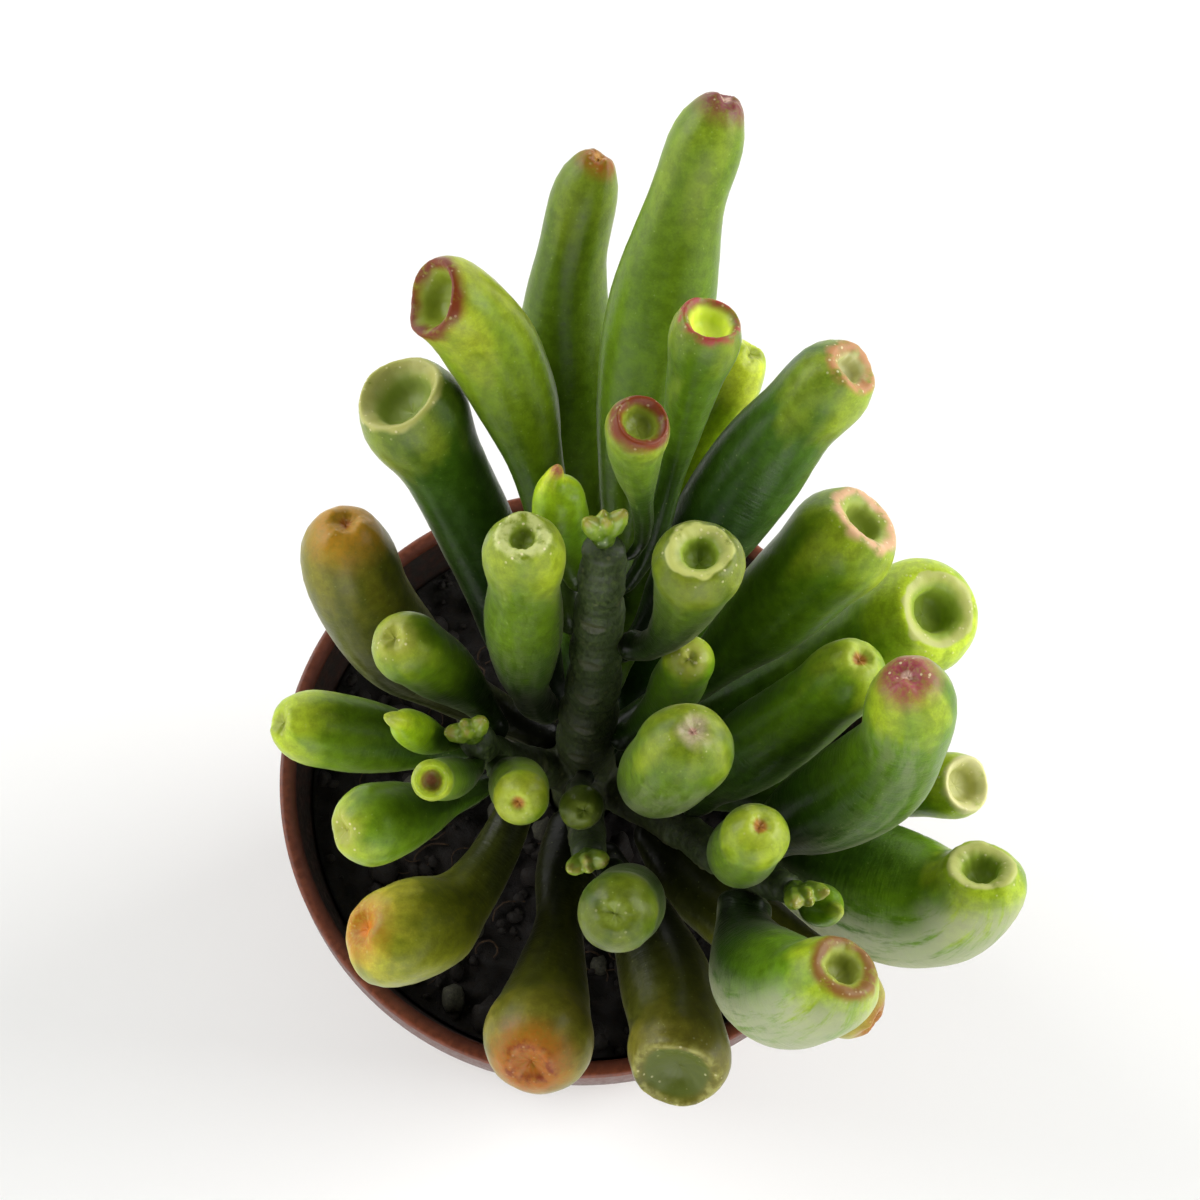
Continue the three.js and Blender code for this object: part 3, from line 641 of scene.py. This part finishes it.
def uneven(points, straight, forward, length, crest, girth, number):
    """A leaf's rings with swells and ripples, and in a cup with waves of the lip and puckers."""
    run = length[1:-1]
    lip = run - length[crest]
    flat, shape = straight.reshape(-1, 3), points.shape[:2]
    drift = lumps(flat * (1, 1, 0.5), SWELL_SCALE, number, 2).reshape(shape)
    ripple = lumps(flat, RIPPLE_SCALE, number + RIPPLE_SEEDS, 2).reshape(shape)
    calm = np.clip(run / CALM_ROOT, 0, 1)[:, None]
    near_lip = np.exp(-((lip / LIP_REACH) ** 2))[:, None]
    small = min(1.0, girth / FULL_GIRTH)
    normals = ring_normals(points)
    lift = small * calm * (SWELLS * drift + RIPPLES * ripple * (1 + near_lip))
    points = points + normals * lift[..., None]
    if crest >= len(length) - CUP_ROWS:
        return points

    rng = random.Random(number)
    starts = [rng.uniform(0, TURN) for _ in range(LIP_TONES)]
    waves = sum(np.cos((k + 2) * turns(ROUND) + start) / (k + 1) for k, start in enumerate(starts))
    points = points + forward * (small * LIP_WAVES * near_lip * waves)[..., None]
    from_lip, from_middle = PUCKERS_FULL
    inside = np.clip(lip / from_lip, 0, 1) * np.clip((length[-1] - run) / from_middle, 0, 1) ** 2
    pucker = np.cos(rng.randint(*PUCKER_COUNTS) * turns(ROUND) + starts[0]) + 0.6 * ripple
    return points + normals * (small * PUCKERS * inside[:, None] * pucker)[..., None]


def on_skin(values, root, end):
    """The rings' values given to each of their points, and then those of the two poles."""
    return np.concatenate([np.repeat(values, ROUND), [root, end]])


def leaf(name, number, look):
    stations = leaf_stations(name)
    leaf_roots.append(stations[0, :3] / MM)
    away = stations[1, :3] - stations[0, :3]
    stations[0, :3] -= ROOT_SINKS * away / np.linalg.norm(away)
    fine = fine_stations(stations)
    length = skin_length(fine) / MM
    forward = np.cross(stations[-2, 3:6], stations[-2, 6:9])
    forward /= np.linalg.norm(forward)
    crest = int(np.argmax((fine[:, :3] - stations[-1, :3]) @ forward))
    body, poles = fine[1:-1], fine[[0, -1], :3]

    points = body[:, None, :3] + np.einsum("nk,rkx->rnx", AROUND, body[:, 3:].reshape(-1, 2, 3))
    girth = (mean_radii(body) / MM)[:crest].max()
    run = length[1:-1]
    rows = np.repeat(run[:, None, None], ROUND, 1)
    straight = np.concatenate([np.repeat(girth * AROUND[None], len(body), 0), rows], axis=2)
    points = uneven(points, straight, forward, length, crest, girth, number)

    attributes = {
        "straight": np.concatenate([straight.reshape(-1, 3), [[0, 0, 0], [0, 0, length[-1]]]]),
        "along": on_skin(np.clip(run / length[crest], 0, 1), 0, 1),
        "lip": on_skin(run - length[crest], -length[crest], length[-1] - length[crest]),
        "middle": on_skin(length[-1] - run, length[-1], 0),
    }
    all_points = np.concatenate([points.reshape(-1, 3), poles])
    faces = tube_faces(len(body), ROUND)
    material = leaf_material(name + "_flesh", number, *look)
    return make_piece(name + "_skin", all_points, faces, material, [name], attributes)


for number, (name, look) in enumerate(LEAVES.items()):
    leaf("leaf_" + name, number, look)

# ---- stem and growing tips

# The shoots of the solids, in mm: points along each, its thickness at foot and top, and how green
# its bark is at the foot. At the top it is all green.
SHOOTS = {
    "main": ([(0, 0, 37), (0, 0, 48), (0.5, 1.5, 62), (1.5, 5, 80), (2, 9, 94)], (6.6, 3.8), 0.2),
    "left": ([(-1, 0, 52), (-4, -1, 59), (-8, -2, 67), (-9.5, -2.5, 75)], (3.8, 2.8), 0.3),
    "front": ([(0, -1, 54), (0.3, -5.5, 57.5), (0.6, -9.5, 62), (0.6, -11.5, 66.5)], (4.2, 3.0), 0.3),
    "right": ([(1, -0.5, 52), (7, -5, 57), (14, -12, 65), (18.5, -16.5, 75)], (4.2, 3.0), 0.3),
}
CROWN = 0.3  # height of a shoot's rounded top, as a share of its thickness
PATH_PARTS = 60
SCAR_SPACING = 6  # mm along a shoot, which swells once in it and shed two pairs of leaves
SCAR_SWELL = 0.07
SCARS_BEGIN = (10, 16)  # mm from the foot, over which the swells come up
SCARS_END = 4  # mm below the top
SCAR_GAP = 3.2  # mm between a shed leaf's scar and a leaf
SCAR_WIDE, SCAR_HIGH = 1.15, 0.6  # half its sides, in mm
SCAR_REACH = 3  # mm
SCAR_RIM = (0.16, 0.35)  # how high in mm, and how wide as a share of the scar
SCAR_DIP = (0.1, 0.7)
SCAR_EDGE = (0.7, 1.2)  # shares of the scar over which its colour fades
FORK_BLEND = 0.3  # mm over which two shoots' barks run together
BARK_VOXEL = 0.28 * MM
BARK_SMOOTHING = 12
BARK_ROUNDS = 4  # of moving the mesh onto the bark, each by a share of the way
BARK_SHARE = 0.8
BARK_LUMPS = ((0.1, 0.45, 3), (0.04, 2.0, 4))  # height in mm, lumps per mm and seed
SEAT_SWELL = 0.35  # mm of bark raised under a leaf
SEAT_REACH = 1.5
TIP_VOXEL = 0.13 * MM
TIP_SMOOTHING = 5
TIP_LUMPS = (0.03, 1.1, 6)


def shoot_path(name):
    """A shoot's centre line, directions, growth from its foot and bark radius, all in mm."""
    points, (foot, top), _ = SHOOTS[name]
    points = np.array(points, float)
    values = np.array([2 * points[0] - points[1], *points, 2 * points[-1] - points[-2]])
    knots = np.cumsum([0, *np.sqrt(np.linalg.norm(np.diff(values, axis=0), axis=1))])
    path = smooth_rows(values, knots, [PATH_PARTS] * (len(points) - 1))
    steps = np.linalg.norm(np.diff(path, axis=0), axis=1)
    growth = np.concatenate([[0], np.cumsum(steps)])
    ways = np.gradient(path, axis=0)
    ways /= np.linalg.norm(ways, axis=1, keepdims=True)
    share = growth / growth[-1]
    scars = SCAR_SWELL * np.cos(growth / SCAR_SPACING * TURN) * smoothstep(growth, *SCARS_BEGIN)
    return path, ways, growth, (foot + (top - foot) * share) / 2 * (1 + scars)


def bark_depth(points, shoot):
    """How far points lie outside a shoot's bark, and how far up the shoot."""
    path, ways, growth, radius = shoot
    gaps = ((points[:, None] - path[None]) ** 2).sum(2)
    at = gaps.argmin(1)
    offset = points - path[at]
    along = (offset * ways[at]).sum(1)
    out = np.linalg.norm(offset - along[:, None] * ways[at], axis=1)
    past = np.where(at == len(path) - 1, np.maximum(along, 0) / (2 * CROWN), 0)
    before = np.where(at == 0, np.maximum(-along, 0), 0)
    return np.hypot(out, past + before) - radius[at], growth[at] + along


def scar_places(shoots):
    """Where leaves were shed: pairs on opposite sides, each pair a quarter turn from the last."""
    places = []
    for path, ways, growth, radius in shoots.values():
        heights = np.arange(SCARS_BEGIN[0], growth[-1] - SCARS_END, SCAR_SPACING / 2)
        for pair, height in enumerate(heights):
            at = int(np.searchsorted(growth, height))
            side = np.cross(ways[at], (0.3, 1, 0.1))
            side /= np.linalg.norm(side)
            if pair % 2:
                side = np.cross(ways[at], side)
            for way in (side, -side):
                place = path[at] + way * radius[at]
                if min(np.linalg.norm(place - root) for root in leaf_roots) > SCAR_GAP:
                    places.append((place, ways[at], np.cross(ways[at], way)))
    return places


def shown_mesh(thing):
    """An object's mesh as its modifiers leave it. The object itself is deleted."""
    mesh = bpy.data.meshes.new_from_object(thing.evaluated_get(bpy.context.evaluated_depsgraph_get()))
    bpy.data.objects.remove(thing)
    return mesh


def remeshed(name, voxel, smoothing):
    """A CAD node's solid as an even, close mesh with its facets smoothed."""
    stand_in = linked("stand_in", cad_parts[name].data.copy())
    stand_in.modifiers.new("weld", "WELD").merge_threshold = WELD
    stand_in.modifiers.new("remesh", "REMESH").voxel_size = voxel
    relax = stand_in.modifiers.new("relax", "SMOOTH")
    relax.factor, relax.iterations = 0.5, smoothing
    mesh = shown_mesh(stand_in)
    mesh.name = name + "_fine"
    for key in [attribute.name for attribute in mesh.attributes if not attribute.is_required]:
        mesh.attributes.remove(mesh.attributes[key])
    return mesh


def vectors(rows, key):
    flat = np.empty(len(rows) * 3, np.float32)
    rows.foreach_get(key, flat)
    return flat.reshape(-1, 3).astype(float)


def mesh_points(mesh):
    """A mesh's points in mm."""
    return vectors(mesh.vertices, "co") / MM


def push_out(mesh, points, distance):
    """Points in mm moved along the mesh's normals and given to the mesh."""
    points = points + vectors(mesh.vertex_normals, "vector") * distance[:, None]
    mesh.vertices.foreach_set("co", (points * MM).astype(np.float32).ravel())
    mesh.update()


def bark_mesh(shoots):
    """The stem's solid moved onto the round bark of its shoots."""
    mesh = remeshed("stem", BARK_VOXEL, BARK_SMOOTHING)
    for _ in range(BARK_ROUNDS):
        points = mesh_points(mesh)
        depths = np.array([bark_depth(points, shoot)[0] for shoot in shoots.values()])
        depth = -FORK_BLEND * np.log(np.exp(-depths / FORK_BLEND).sum(0))
        push_out(mesh, points, -depth * BARK_SHARE)
    return mesh


def bark_relief(points, shoots):
    """How far lumps, leaf seats and scars raise the bark in mm, and how much each point is a scar's."""
    raised = sum(height * lumps(points, scale, seed) for height, scale, seed in BARK_LUMPS)
    for root in leaf_roots:
        gap = np.linalg.norm(points - root, axis=1)
        raised += SEAT_SWELL * np.exp(-((gap / SEAT_REACH) ** 2))
    scar = np.zeros(len(points))
    (rim, rim_wide), (dip, dip_wide) = SCAR_RIM, SCAR_DIP
    for place, up, beside in scar_places(shoots):
        offset = points - place
        near = np.linalg.norm(offset, axis=1) < SCAR_REACH
        far = np.hypot(offset @ beside / SCAR_WIDE, offset @ up / SCAR_HIGH)
        ridge, hollow = np.exp(-(((far - 1) / rim_wide) ** 2)), np.exp(-((far / dip_wide) ** 2))
        raised += near * (rim * ridge - dip * hollow)
        scar = np.maximum(scar, near * (1 - smoothstep(far, *SCAR_EDGE)))
    return raised, scar


def stem():
    shoots = {name: shoot_path(name) for name in SHOOTS}
    mesh = bark_mesh(shoots)
    points = mesh_points(mesh)
    found = [bark_depth(points, shoot) for shoot in shoots.values()]
    own = np.array([depth for depth, _ in found]).argmin(0)
    growth = np.choose(own, [grown for _, grown in found])
    foot_green = np.array([green for _, _, green in SHOOTS.values()])[own]
    tall = np.array([shoot[2][-1] for shoot in shoots.values()])[own]
    young = foot_green + (1 - foot_green) * smoothstep(growth, 0, tall)
    raised, scar = bark_relief(points, shoots)
    push_out(mesh, points, raised)
    attributes = {"growth": growth, "young": young, "scar": scar}
    finish_piece("stem_bark_skin", mesh, bark_material(), ["stem"], attributes)


def growing_tips():
    material = young_leaf_material()
    height, scale, seed = TIP_LUMPS
    for name in SHOOTS:
        node = "growing_tip_" + name
        mesh = remeshed(node, TIP_VOXEL, TIP_SMOOTHING)
        points = mesh_points(mesh)
        path, ways, _, _ = shoot_path(name)
        along = (points - path[-1]) @ ways[-1]
        along = (along - along.min()) / (along.max() - along.min())
        push_out(mesh, points, height * lumps(points, scale, seed))
        finish_piece(node + "_skin", mesh, material, [node], {"along": along})


stem()
growing_tips()

# ---- pot

# The pot and soil of the solids, in mm.
POT_HEIGHT = 52
RIM_RADIUS = 30
FOOT_RADIUS = 21.5
WALL = 1
POT_FLOOR = 1.6
LIP_HEIGHT = 5
LIP_OVERHANG = 0.6
DRAINS = 5
DRAIN_RADIUS = 2.2
DRAIN_RING = 14
SOIL_LEVEL = 46
SOIL_RELIEF = 0.8
SOIL_GAP = 0.3
HOLE_FLOOR = 36.7
EVEN_EDGE = 2

SIDES = 180  # points round the pot and the soil
CORNER_PARTS = 6
LONGEST_WALL = 3.0  # mm between two rings of the pot
LONGEST_SOIL = 6.0
OUT_OF_ROUND = (0.0006, 0.06, 8)  # share of the radius, waves per mm and seed
DRILL_SIDES = 32
DRILL_LENGTH = 6
CREASE = 40  # degrees: sharper edges of the pot are not smoothed


def wall_radius(z):
    return FOOT_RADIUS + (RIM_RADIUS - LIP_OVERHANG - FOOT_RADIUS) * z / POT_HEIGHT


def rounded(corners):
    """A profile through (radius, z, rounding) corners with each corner rounded."""
    places = [Vector(corner[:2]) for corner in corners]
    profile = []
    for k, (place, corner) in enumerate(zip(places, corners)):
        if not corner[2]:
            profile.append(place)
            continue
        start = place + (places[k - 1] - place).normalized() * corner[2]
        stop = place + (places[k + 1] - place).normalized() * corner[2]
        for i in range(CORNER_PARTS + 1):
            t = i / CORNER_PARTS
            profile.append((1 - t) ** 2 * start + 2 * t * (1 - t) * place + t**2 * stop)
    return profile


def lathe(profile, longest):
    """Points and faces of a skin turned from a profile that starts and ends on the axis."""
    radii, heights = [], []
    for a, b in zip(profile[1:-1], profile[2:]):
        parts = max(1, round((b - a).length / longest)) if b.x > 1e-6 else 1
        for i in range(parts):
            spot = a.lerp(b, i / parts)
            radii.append(spot.x)
            heights.append(spot.y)
    flat = np.array(radii)[:, None, None] * circle(SIDES)[None]
    tall = np.repeat(np.array(heights)[:, None, None], SIDES, 1)
    rings = np.concatenate([flat, tall], axis=2)
    ends = np.array([[0, 0, profile[0].y], [0, 0, profile[-1].y]])
    return np.concatenate([rings.reshape(-1, 3), ends]), tube_faces(len(radii), SIDES)


def drain_plugs():
    """What is cut from the pot's floor."""
    bm = bmesh.new()
    size = {"radius1": DRAIN_RADIUS * MM, "radius2": DRAIN_RADIUS * MM, "depth": DRILL_LENGTH * MM}
    for i in range(DRAINS):
        made = bmesh.ops.create_cone(bm, cap_ends=True, segments=DRILL_SIDES, **size)
        turn = TURN * i / DRAINS
        ring = Vector((math.cos(turn), math.sin(turn), 0)) * DRAIN_RING * MM
        bmesh.ops.translate(bm, verts=made["verts"], vec=ring)
    mesh = bpy.data.meshes.new("drill")
    bm.to_mesh(mesh)
    bm.free()
    return mesh


def pot_mesh():
    under_lip = POT_HEIGHT - LIP_HEIGHT
    corners = [
        (0, 0, 0),
        (FOOT_RADIUS, 0, 0.7),
        (wall_radius(under_lip), under_lip, 0.2),
        (RIM_RADIUS, under_lip, 0.25),
        (RIM_RADIUS, POT_HEIGHT, 0.5),
        (wall_radius(POT_HEIGHT) - WALL, POT_HEIGHT, 0.4),
        (wall_radius(POT_FLOOR) - WALL, POT_FLOOR, 0.8),
        (0, POT_FLOOR, 0),
    ]
    points, faces = lathe(rounded(corners), LONGEST_WALL)
    share, scale, seed = OUT_OF_ROUND
    points *= (1 + share * lumps(points, scale, seed))[:, None] ** (1, 1, 0)
    mesh = bpy.data.meshes.new("pot_fine")
    mesh.from_pydata((points * MM).tolist(), [], faces)
    body, drill = linked("pot_fine", mesh), linked("drill", drain_plugs())
    cut = body.modifiers.new("drains", "BOOLEAN")
    cut.operation, cut.object, cut.solver = "DIFFERENCE", drill, "EXACT"
    fine = shown_mesh(body)
    bpy.data.objects.remove(drill)
    return fine


def pot():
    mesh = pot_mesh()
    spots = mesh_points(mesh)
    radius, z = np.hypot(spots[:, 0], spots[:, 1]), spots[:, 2]
    above_floor, below_brim = z > POT_FLOOR - 0.1, z < POT_HEIGHT - 0.35
    inner = (radius < wall_radius(z) - 0.5 * WALL) & above_floor & below_brim
    brim = smoothstep(z, POT_HEIGHT - 0.7, POT_HEIGHT - 0.1)
    brim *= smoothstep(radius, RIM_RADIUS - 1.0, RIM_RADIUS - 0.3)
    foot = smoothstep(-z, -1.2, -0.2) * smoothstep(radius, FOOT_RADIUS - 1.5, FOOT_RADIUS - 0.5)
    attributes = {"inner": inner.astype(float), "edge": np.maximum(brim, foot)}
    piece = finish_piece("nursery_pot", mesh, pot_material(), ["pot"], attributes)
    piece.data.set_sharp_from_angle(angle=math.radians(CREASE))


# ---- soil

SOIL_RINGS = 70
SOIL_EDGE = wall_radius(SOIL_LEVEL) - WALL - SOIL_GAP
STEM_HOLE = SHOOTS["main"][1][0] / 2 + SOIL_GAP
SOIL_CRUMBLES = ((0.45, 0.5, 11, 4), (0.2, 1.7, 12, 3))  # height in mm, lumps per mm, seed, octaves

CRUMBS = 560
CRUMB_SIZE = 0.32  # mm, times e to a random power
CRUMB_POWER = (0.35, 0.5)  # its middle and spread
LARGEST_CRUMB = 1.6
PALE_SHARE = 0.05
PALE_SIZE = (0.7, 1.7)
CRUMB_STRETCH = (0.7, 1.25)
CRUMB_LUMPS = (0.35, 1.6, 20)  # share of its size, lumps to its radius and first seed
CRUMB_RISE = 0.35  # of its size, by which its middle lies above the soil
CRUMB_CLEAR = 0.6  # mm between its middle and the stem's hole

FIBRES = 90
FIBRE_SIDES = 5
FIBRE_JOINTS = 9
FIBRE_STEP = 0.55  # mm
FIBRE_RADIUS = (0.05, 0.12)
FIBRE_CLEAR = (2, 4)  # mm between its first joint and the stem's hole or the pot
FIBRE_CURL, FIBRE_WOBBLE = 0.25, 0.2  # radians a step
FIBRE_LIFT, FIBRE_ARCH = 0.25, 0.2  # mm above the soil, and how much more in the middle


def soil_height(x, y, radius):
    """Height of the soil's surface in mm."""
    broad = np.sin(0.31 * x + 1.3) * np.cos(0.27 * y - 0.4)
    lumpy = np.sin(0.83 * x + 0.9 * y) * np.sin(1.07 * y - 0.6 * x + 2)
    flat = np.stack([x, y, np.zeros_like(x)], axis=1)
    (coarse, *coarse_form), (fine, *fine_form) = SOIL_CRUMBLES
    crumbly = coarse * lumps(flat, *coarse_form) + fine * lumps(flat, *fine_form)
    level = smoothstep(SOIL_EDGE - radius, 0, EVEN_EDGE)
    return SOIL_LEVEL + level * (SOIL_RELIEF * 0.6 * (broad + lumpy) + crumbly)


def soil():
    foot = POT_FLOOR + SOIL_GAP
    radii = [SOIL_EDGE + (STEM_HOLE - SOIL_EDGE) * i / SOIL_RINGS for i in range(SOIL_RINGS + 1)]
    profile = [
        Vector((0, foot)),
        Vector((wall_radius(foot) - WALL - SOIL_GAP, foot)),
        *(Vector((radius, SOIL_LEVEL)) for radius in radii),
        Vector((STEM_HOLE, HOLE_FLOOR)),
        Vector((0, HOLE_FLOOR)),
    ]
    points, faces = lathe(profile, LONGEST_SOIL)
    top = np.abs(points[:, 2] - SOIL_LEVEL) < 1e-6
    x, y = points[top, 0], points[top, 1]
    points[top, 2] = soil_height(x, y, np.hypot(x, y))
    make_piece("soil_block", points * MM, faces, soil_material(), ["soil"])


def strewn(dice, nearest, farthest):
    """A random place on the soil, and how far it is from the middle."""
    away = math.sqrt(dice.uniform(nearest**2, farthest**2))
    turn = dice.uniform(0, TURN)
    return np.array([away * math.cos(turn), away * math.sin(turn)]), away


def crumbs(dice):
    ball = bmesh.new()
    bmesh.ops.create_icosphere(ball, subdivisions=2, radius=1.0)
    ball_points = np.array([vertex.co for vertex in ball.verts])
    ball_faces = np.array([[vertex.index for vertex in face.verts] for face in ball.faces])
    ball.free()
    high, scale, seed = CRUMB_LUMPS
    points, faces, kinds = [], [], []
    for k in range(CRUMBS):
        if pale := dice.random() < PALE_SHARE:
            size = dice.uniform(*PALE_SIZE)
        else:
            size = min(LARGEST_CRUMB, CRUMB_SIZE * math.exp(dice.gauss(*CRUMB_POWER)))
        (x, y), away = strewn(dice, STEM_HOLE + CRUMB_CLEAR, SOIL_EDGE - size)
        shape = ball_points * np.array([dice.uniform(*CRUMB_STRETCH) for _ in range(3)])
        shape = shape * (1 + high * lumps(shape, scale, seed + k, 2))[:, None]
        z = soil_height(np.array([x]), np.array([y]), away)[0]
        points.append(shape * size + (x, y, z + CRUMB_RISE * size))
        faces.append(ball_faces + k * len(ball_points))
        kinds.append(np.full(len(ball_points), float(pale)))
    points, faces = np.concatenate(points) * MM, np.concatenate(faces).tolist()
    attributes = {"kind": np.concatenate(kinds)}
    make_piece("peat_crumbs", points, faces, crumb_material(), [], attributes)


def fibre_line(dice):
    """The joints of one curling fibre on the soil."""
    near, far = FIBRE_CLEAR
    spot, _ = strewn(dice, STEM_HOLE + near, SOIL_EDGE - far)
    heading, curl = dice.uniform(0, TURN), dice.gauss(0, FIBRE_CURL)
    thick = dice.uniform(*FIBRE_RADIUS)
    line = []
    for _ in range(FIBRE_JOINTS):
        line.append(spot)
        spot = spot + FIBRE_STEP * np.array([math.cos(heading), math.sin(heading)])
        heading += curl + dice.gauss(0, FIBRE_WOBBLE)
    line = np.array(line)
    height = soil_height(line[:, 0], line[:, 1], np.hypot(line[:, 0], line[:, 1]))
    height = height + FIBRE_LIFT + FIBRE_ARCH * np.sin(np.linspace(0, 3, FIBRE_JOINTS))
    return np.column_stack([line, height]), thick


def fibres(dice):
    ring = circle(FIBRE_SIDES)
    skin = tube_faces(FIBRE_JOINTS, FIBRE_SIDES)
    points, faces = [], []
    for _ in range(FIBRES):
        line, thick = fibre_line(dice)
        x, y, _ = np.gradient(line, axis=0).T
        across = np.column_stack([-y, x, np.zeros(FIBRE_JOINTS)])
        across /= np.linalg.norm(across, axis=1, keepdims=True)
        beside = thick * ring[None, :, :1] * across[:, None]
        above = thick * ring[None, :, 1:] * np.array([0, 0, 1.0])
        rings = line[:, None] + beside + above
        faces += [tuple(len(points) + i for i in face) for face in skin]
        points += [*rings.reshape(-1, 3), line[0], line[-1]]
    make_piece("peat_fibres", np.array(points) * MM, faces, fibre_material(), [])


pot()
soil()
peat_dice = random.Random(5)
crumbs(peat_dice)
fibres(peat_dice)

# ---- camera, light, floor

VIEW_FROM = Vector((1.75, -74.535, 337.317)) * MM
VIEW_AT = Vector((1.75, 18.17, 52)) * MM
LENS, SENSOR = 89.19, 36  # mm
NEAREST_SEEN = 0.01
SKY_STRENGTH = 2.4
SKY_STOPS = ((0.1, 1.0), (0.65, 0.05))  # height of a direction, from -1 to 1, and its share of the light
SOFTBOX_SIDE = 1.2
SOFTBOXES = {  # place and watts
    "left_window": ((-1.3, 0.6, 0.9), 17.0),
    "right_window": ((1.4, 0.3, 0.8), 24.0),
    "front_fill": ((0.1, -1.6, 0.7), 10.0),
}
LIT = (0, 0, 0.07)  # where the softboxes point
FLOOR_RADIUS = 1.1
FLOOR_SIDES = 96
FLOOR_DROP = 0.02 * MM  # under the pot's foot


def aimed(name, data, place, target):
    """A new camera or light that looks from a place to a target."""
    thing = linked(name, data)
    thing.location = place
    thing.rotation_mode = "QUATERNION"
    thing.rotation_quaternion = (Vector(target) - Vector(place)).to_track_quat("-Z", "Y")
    return thing


def add_camera():
    data = bpy.data.cameras.new("view")
    data.lens, data.sensor_width, data.clip_start = LENS, SENSOR, NEAREST_SEEN
    bpy.context.scene.camera = aimed("view", data, VIEW_FROM, VIEW_AT)


def add_softboxes():
    for name, (place, watts) in SOFTBOXES.items():
        data = bpy.data.lights.new(name, "AREA")
        data.size = SOFTBOX_SIDE
        data.energy = watts
        aimed(name, data, place, LIT)


def add_floor():
    bm = bmesh.new()
    bmesh.ops.create_circle(bm, cap_ends=True, radius=FLOOR_RADIUS, segments=FLOOR_SIDES)
    mesh = bpy.data.meshes.new("floor")
    bm.to_mesh(mesh)
    bm.free()
    paint = Paint("floor card", 0.1)
    paint.set(Roughness=0.9, Base_Color=tone("#fbfbf9"))
    mesh.materials.append(paint.material)
    floor = linked("floor", mesh)
    floor.location.z = -FLOOR_DROP


def add_sky():
    """A white room, bright round and below the horizon and dim overhead, where the camera hangs."""
    world = bpy.data.worlds.new("studio")
    bpy.context.scene.world = world
    world.use_nodes = True
    tree = world.node_tree
    backdrop = tree.nodes["Background"]
    kinds = ("TexCoord", "SeparateXYZ", "ValToRGB")
    way, split, ramp = (tree.nodes.new("ShaderNode" + kind) for kind in kinds)
    tree.links.new(way.outputs["Generated"], split.inputs[0])
    tree.links.new(split.outputs["Z"], ramp.inputs["Fac"])
    tree.links.new(ramp.outputs["Color"], backdrop.inputs["Color"])
    for element, (height, light) in zip(ramp.color_ramp.elements, SKY_STOPS):
        element.position = height
        element.color = (light, light, light, 1.0)
    backdrop.inputs["Strength"].default_value = SKY_STRENGTH


add_camera()
add_sky()
add_softboxes()
add_floor()
bpy.context.scene.view_settings.view_transform = "Standard"

bpy.context.view_layer.update()
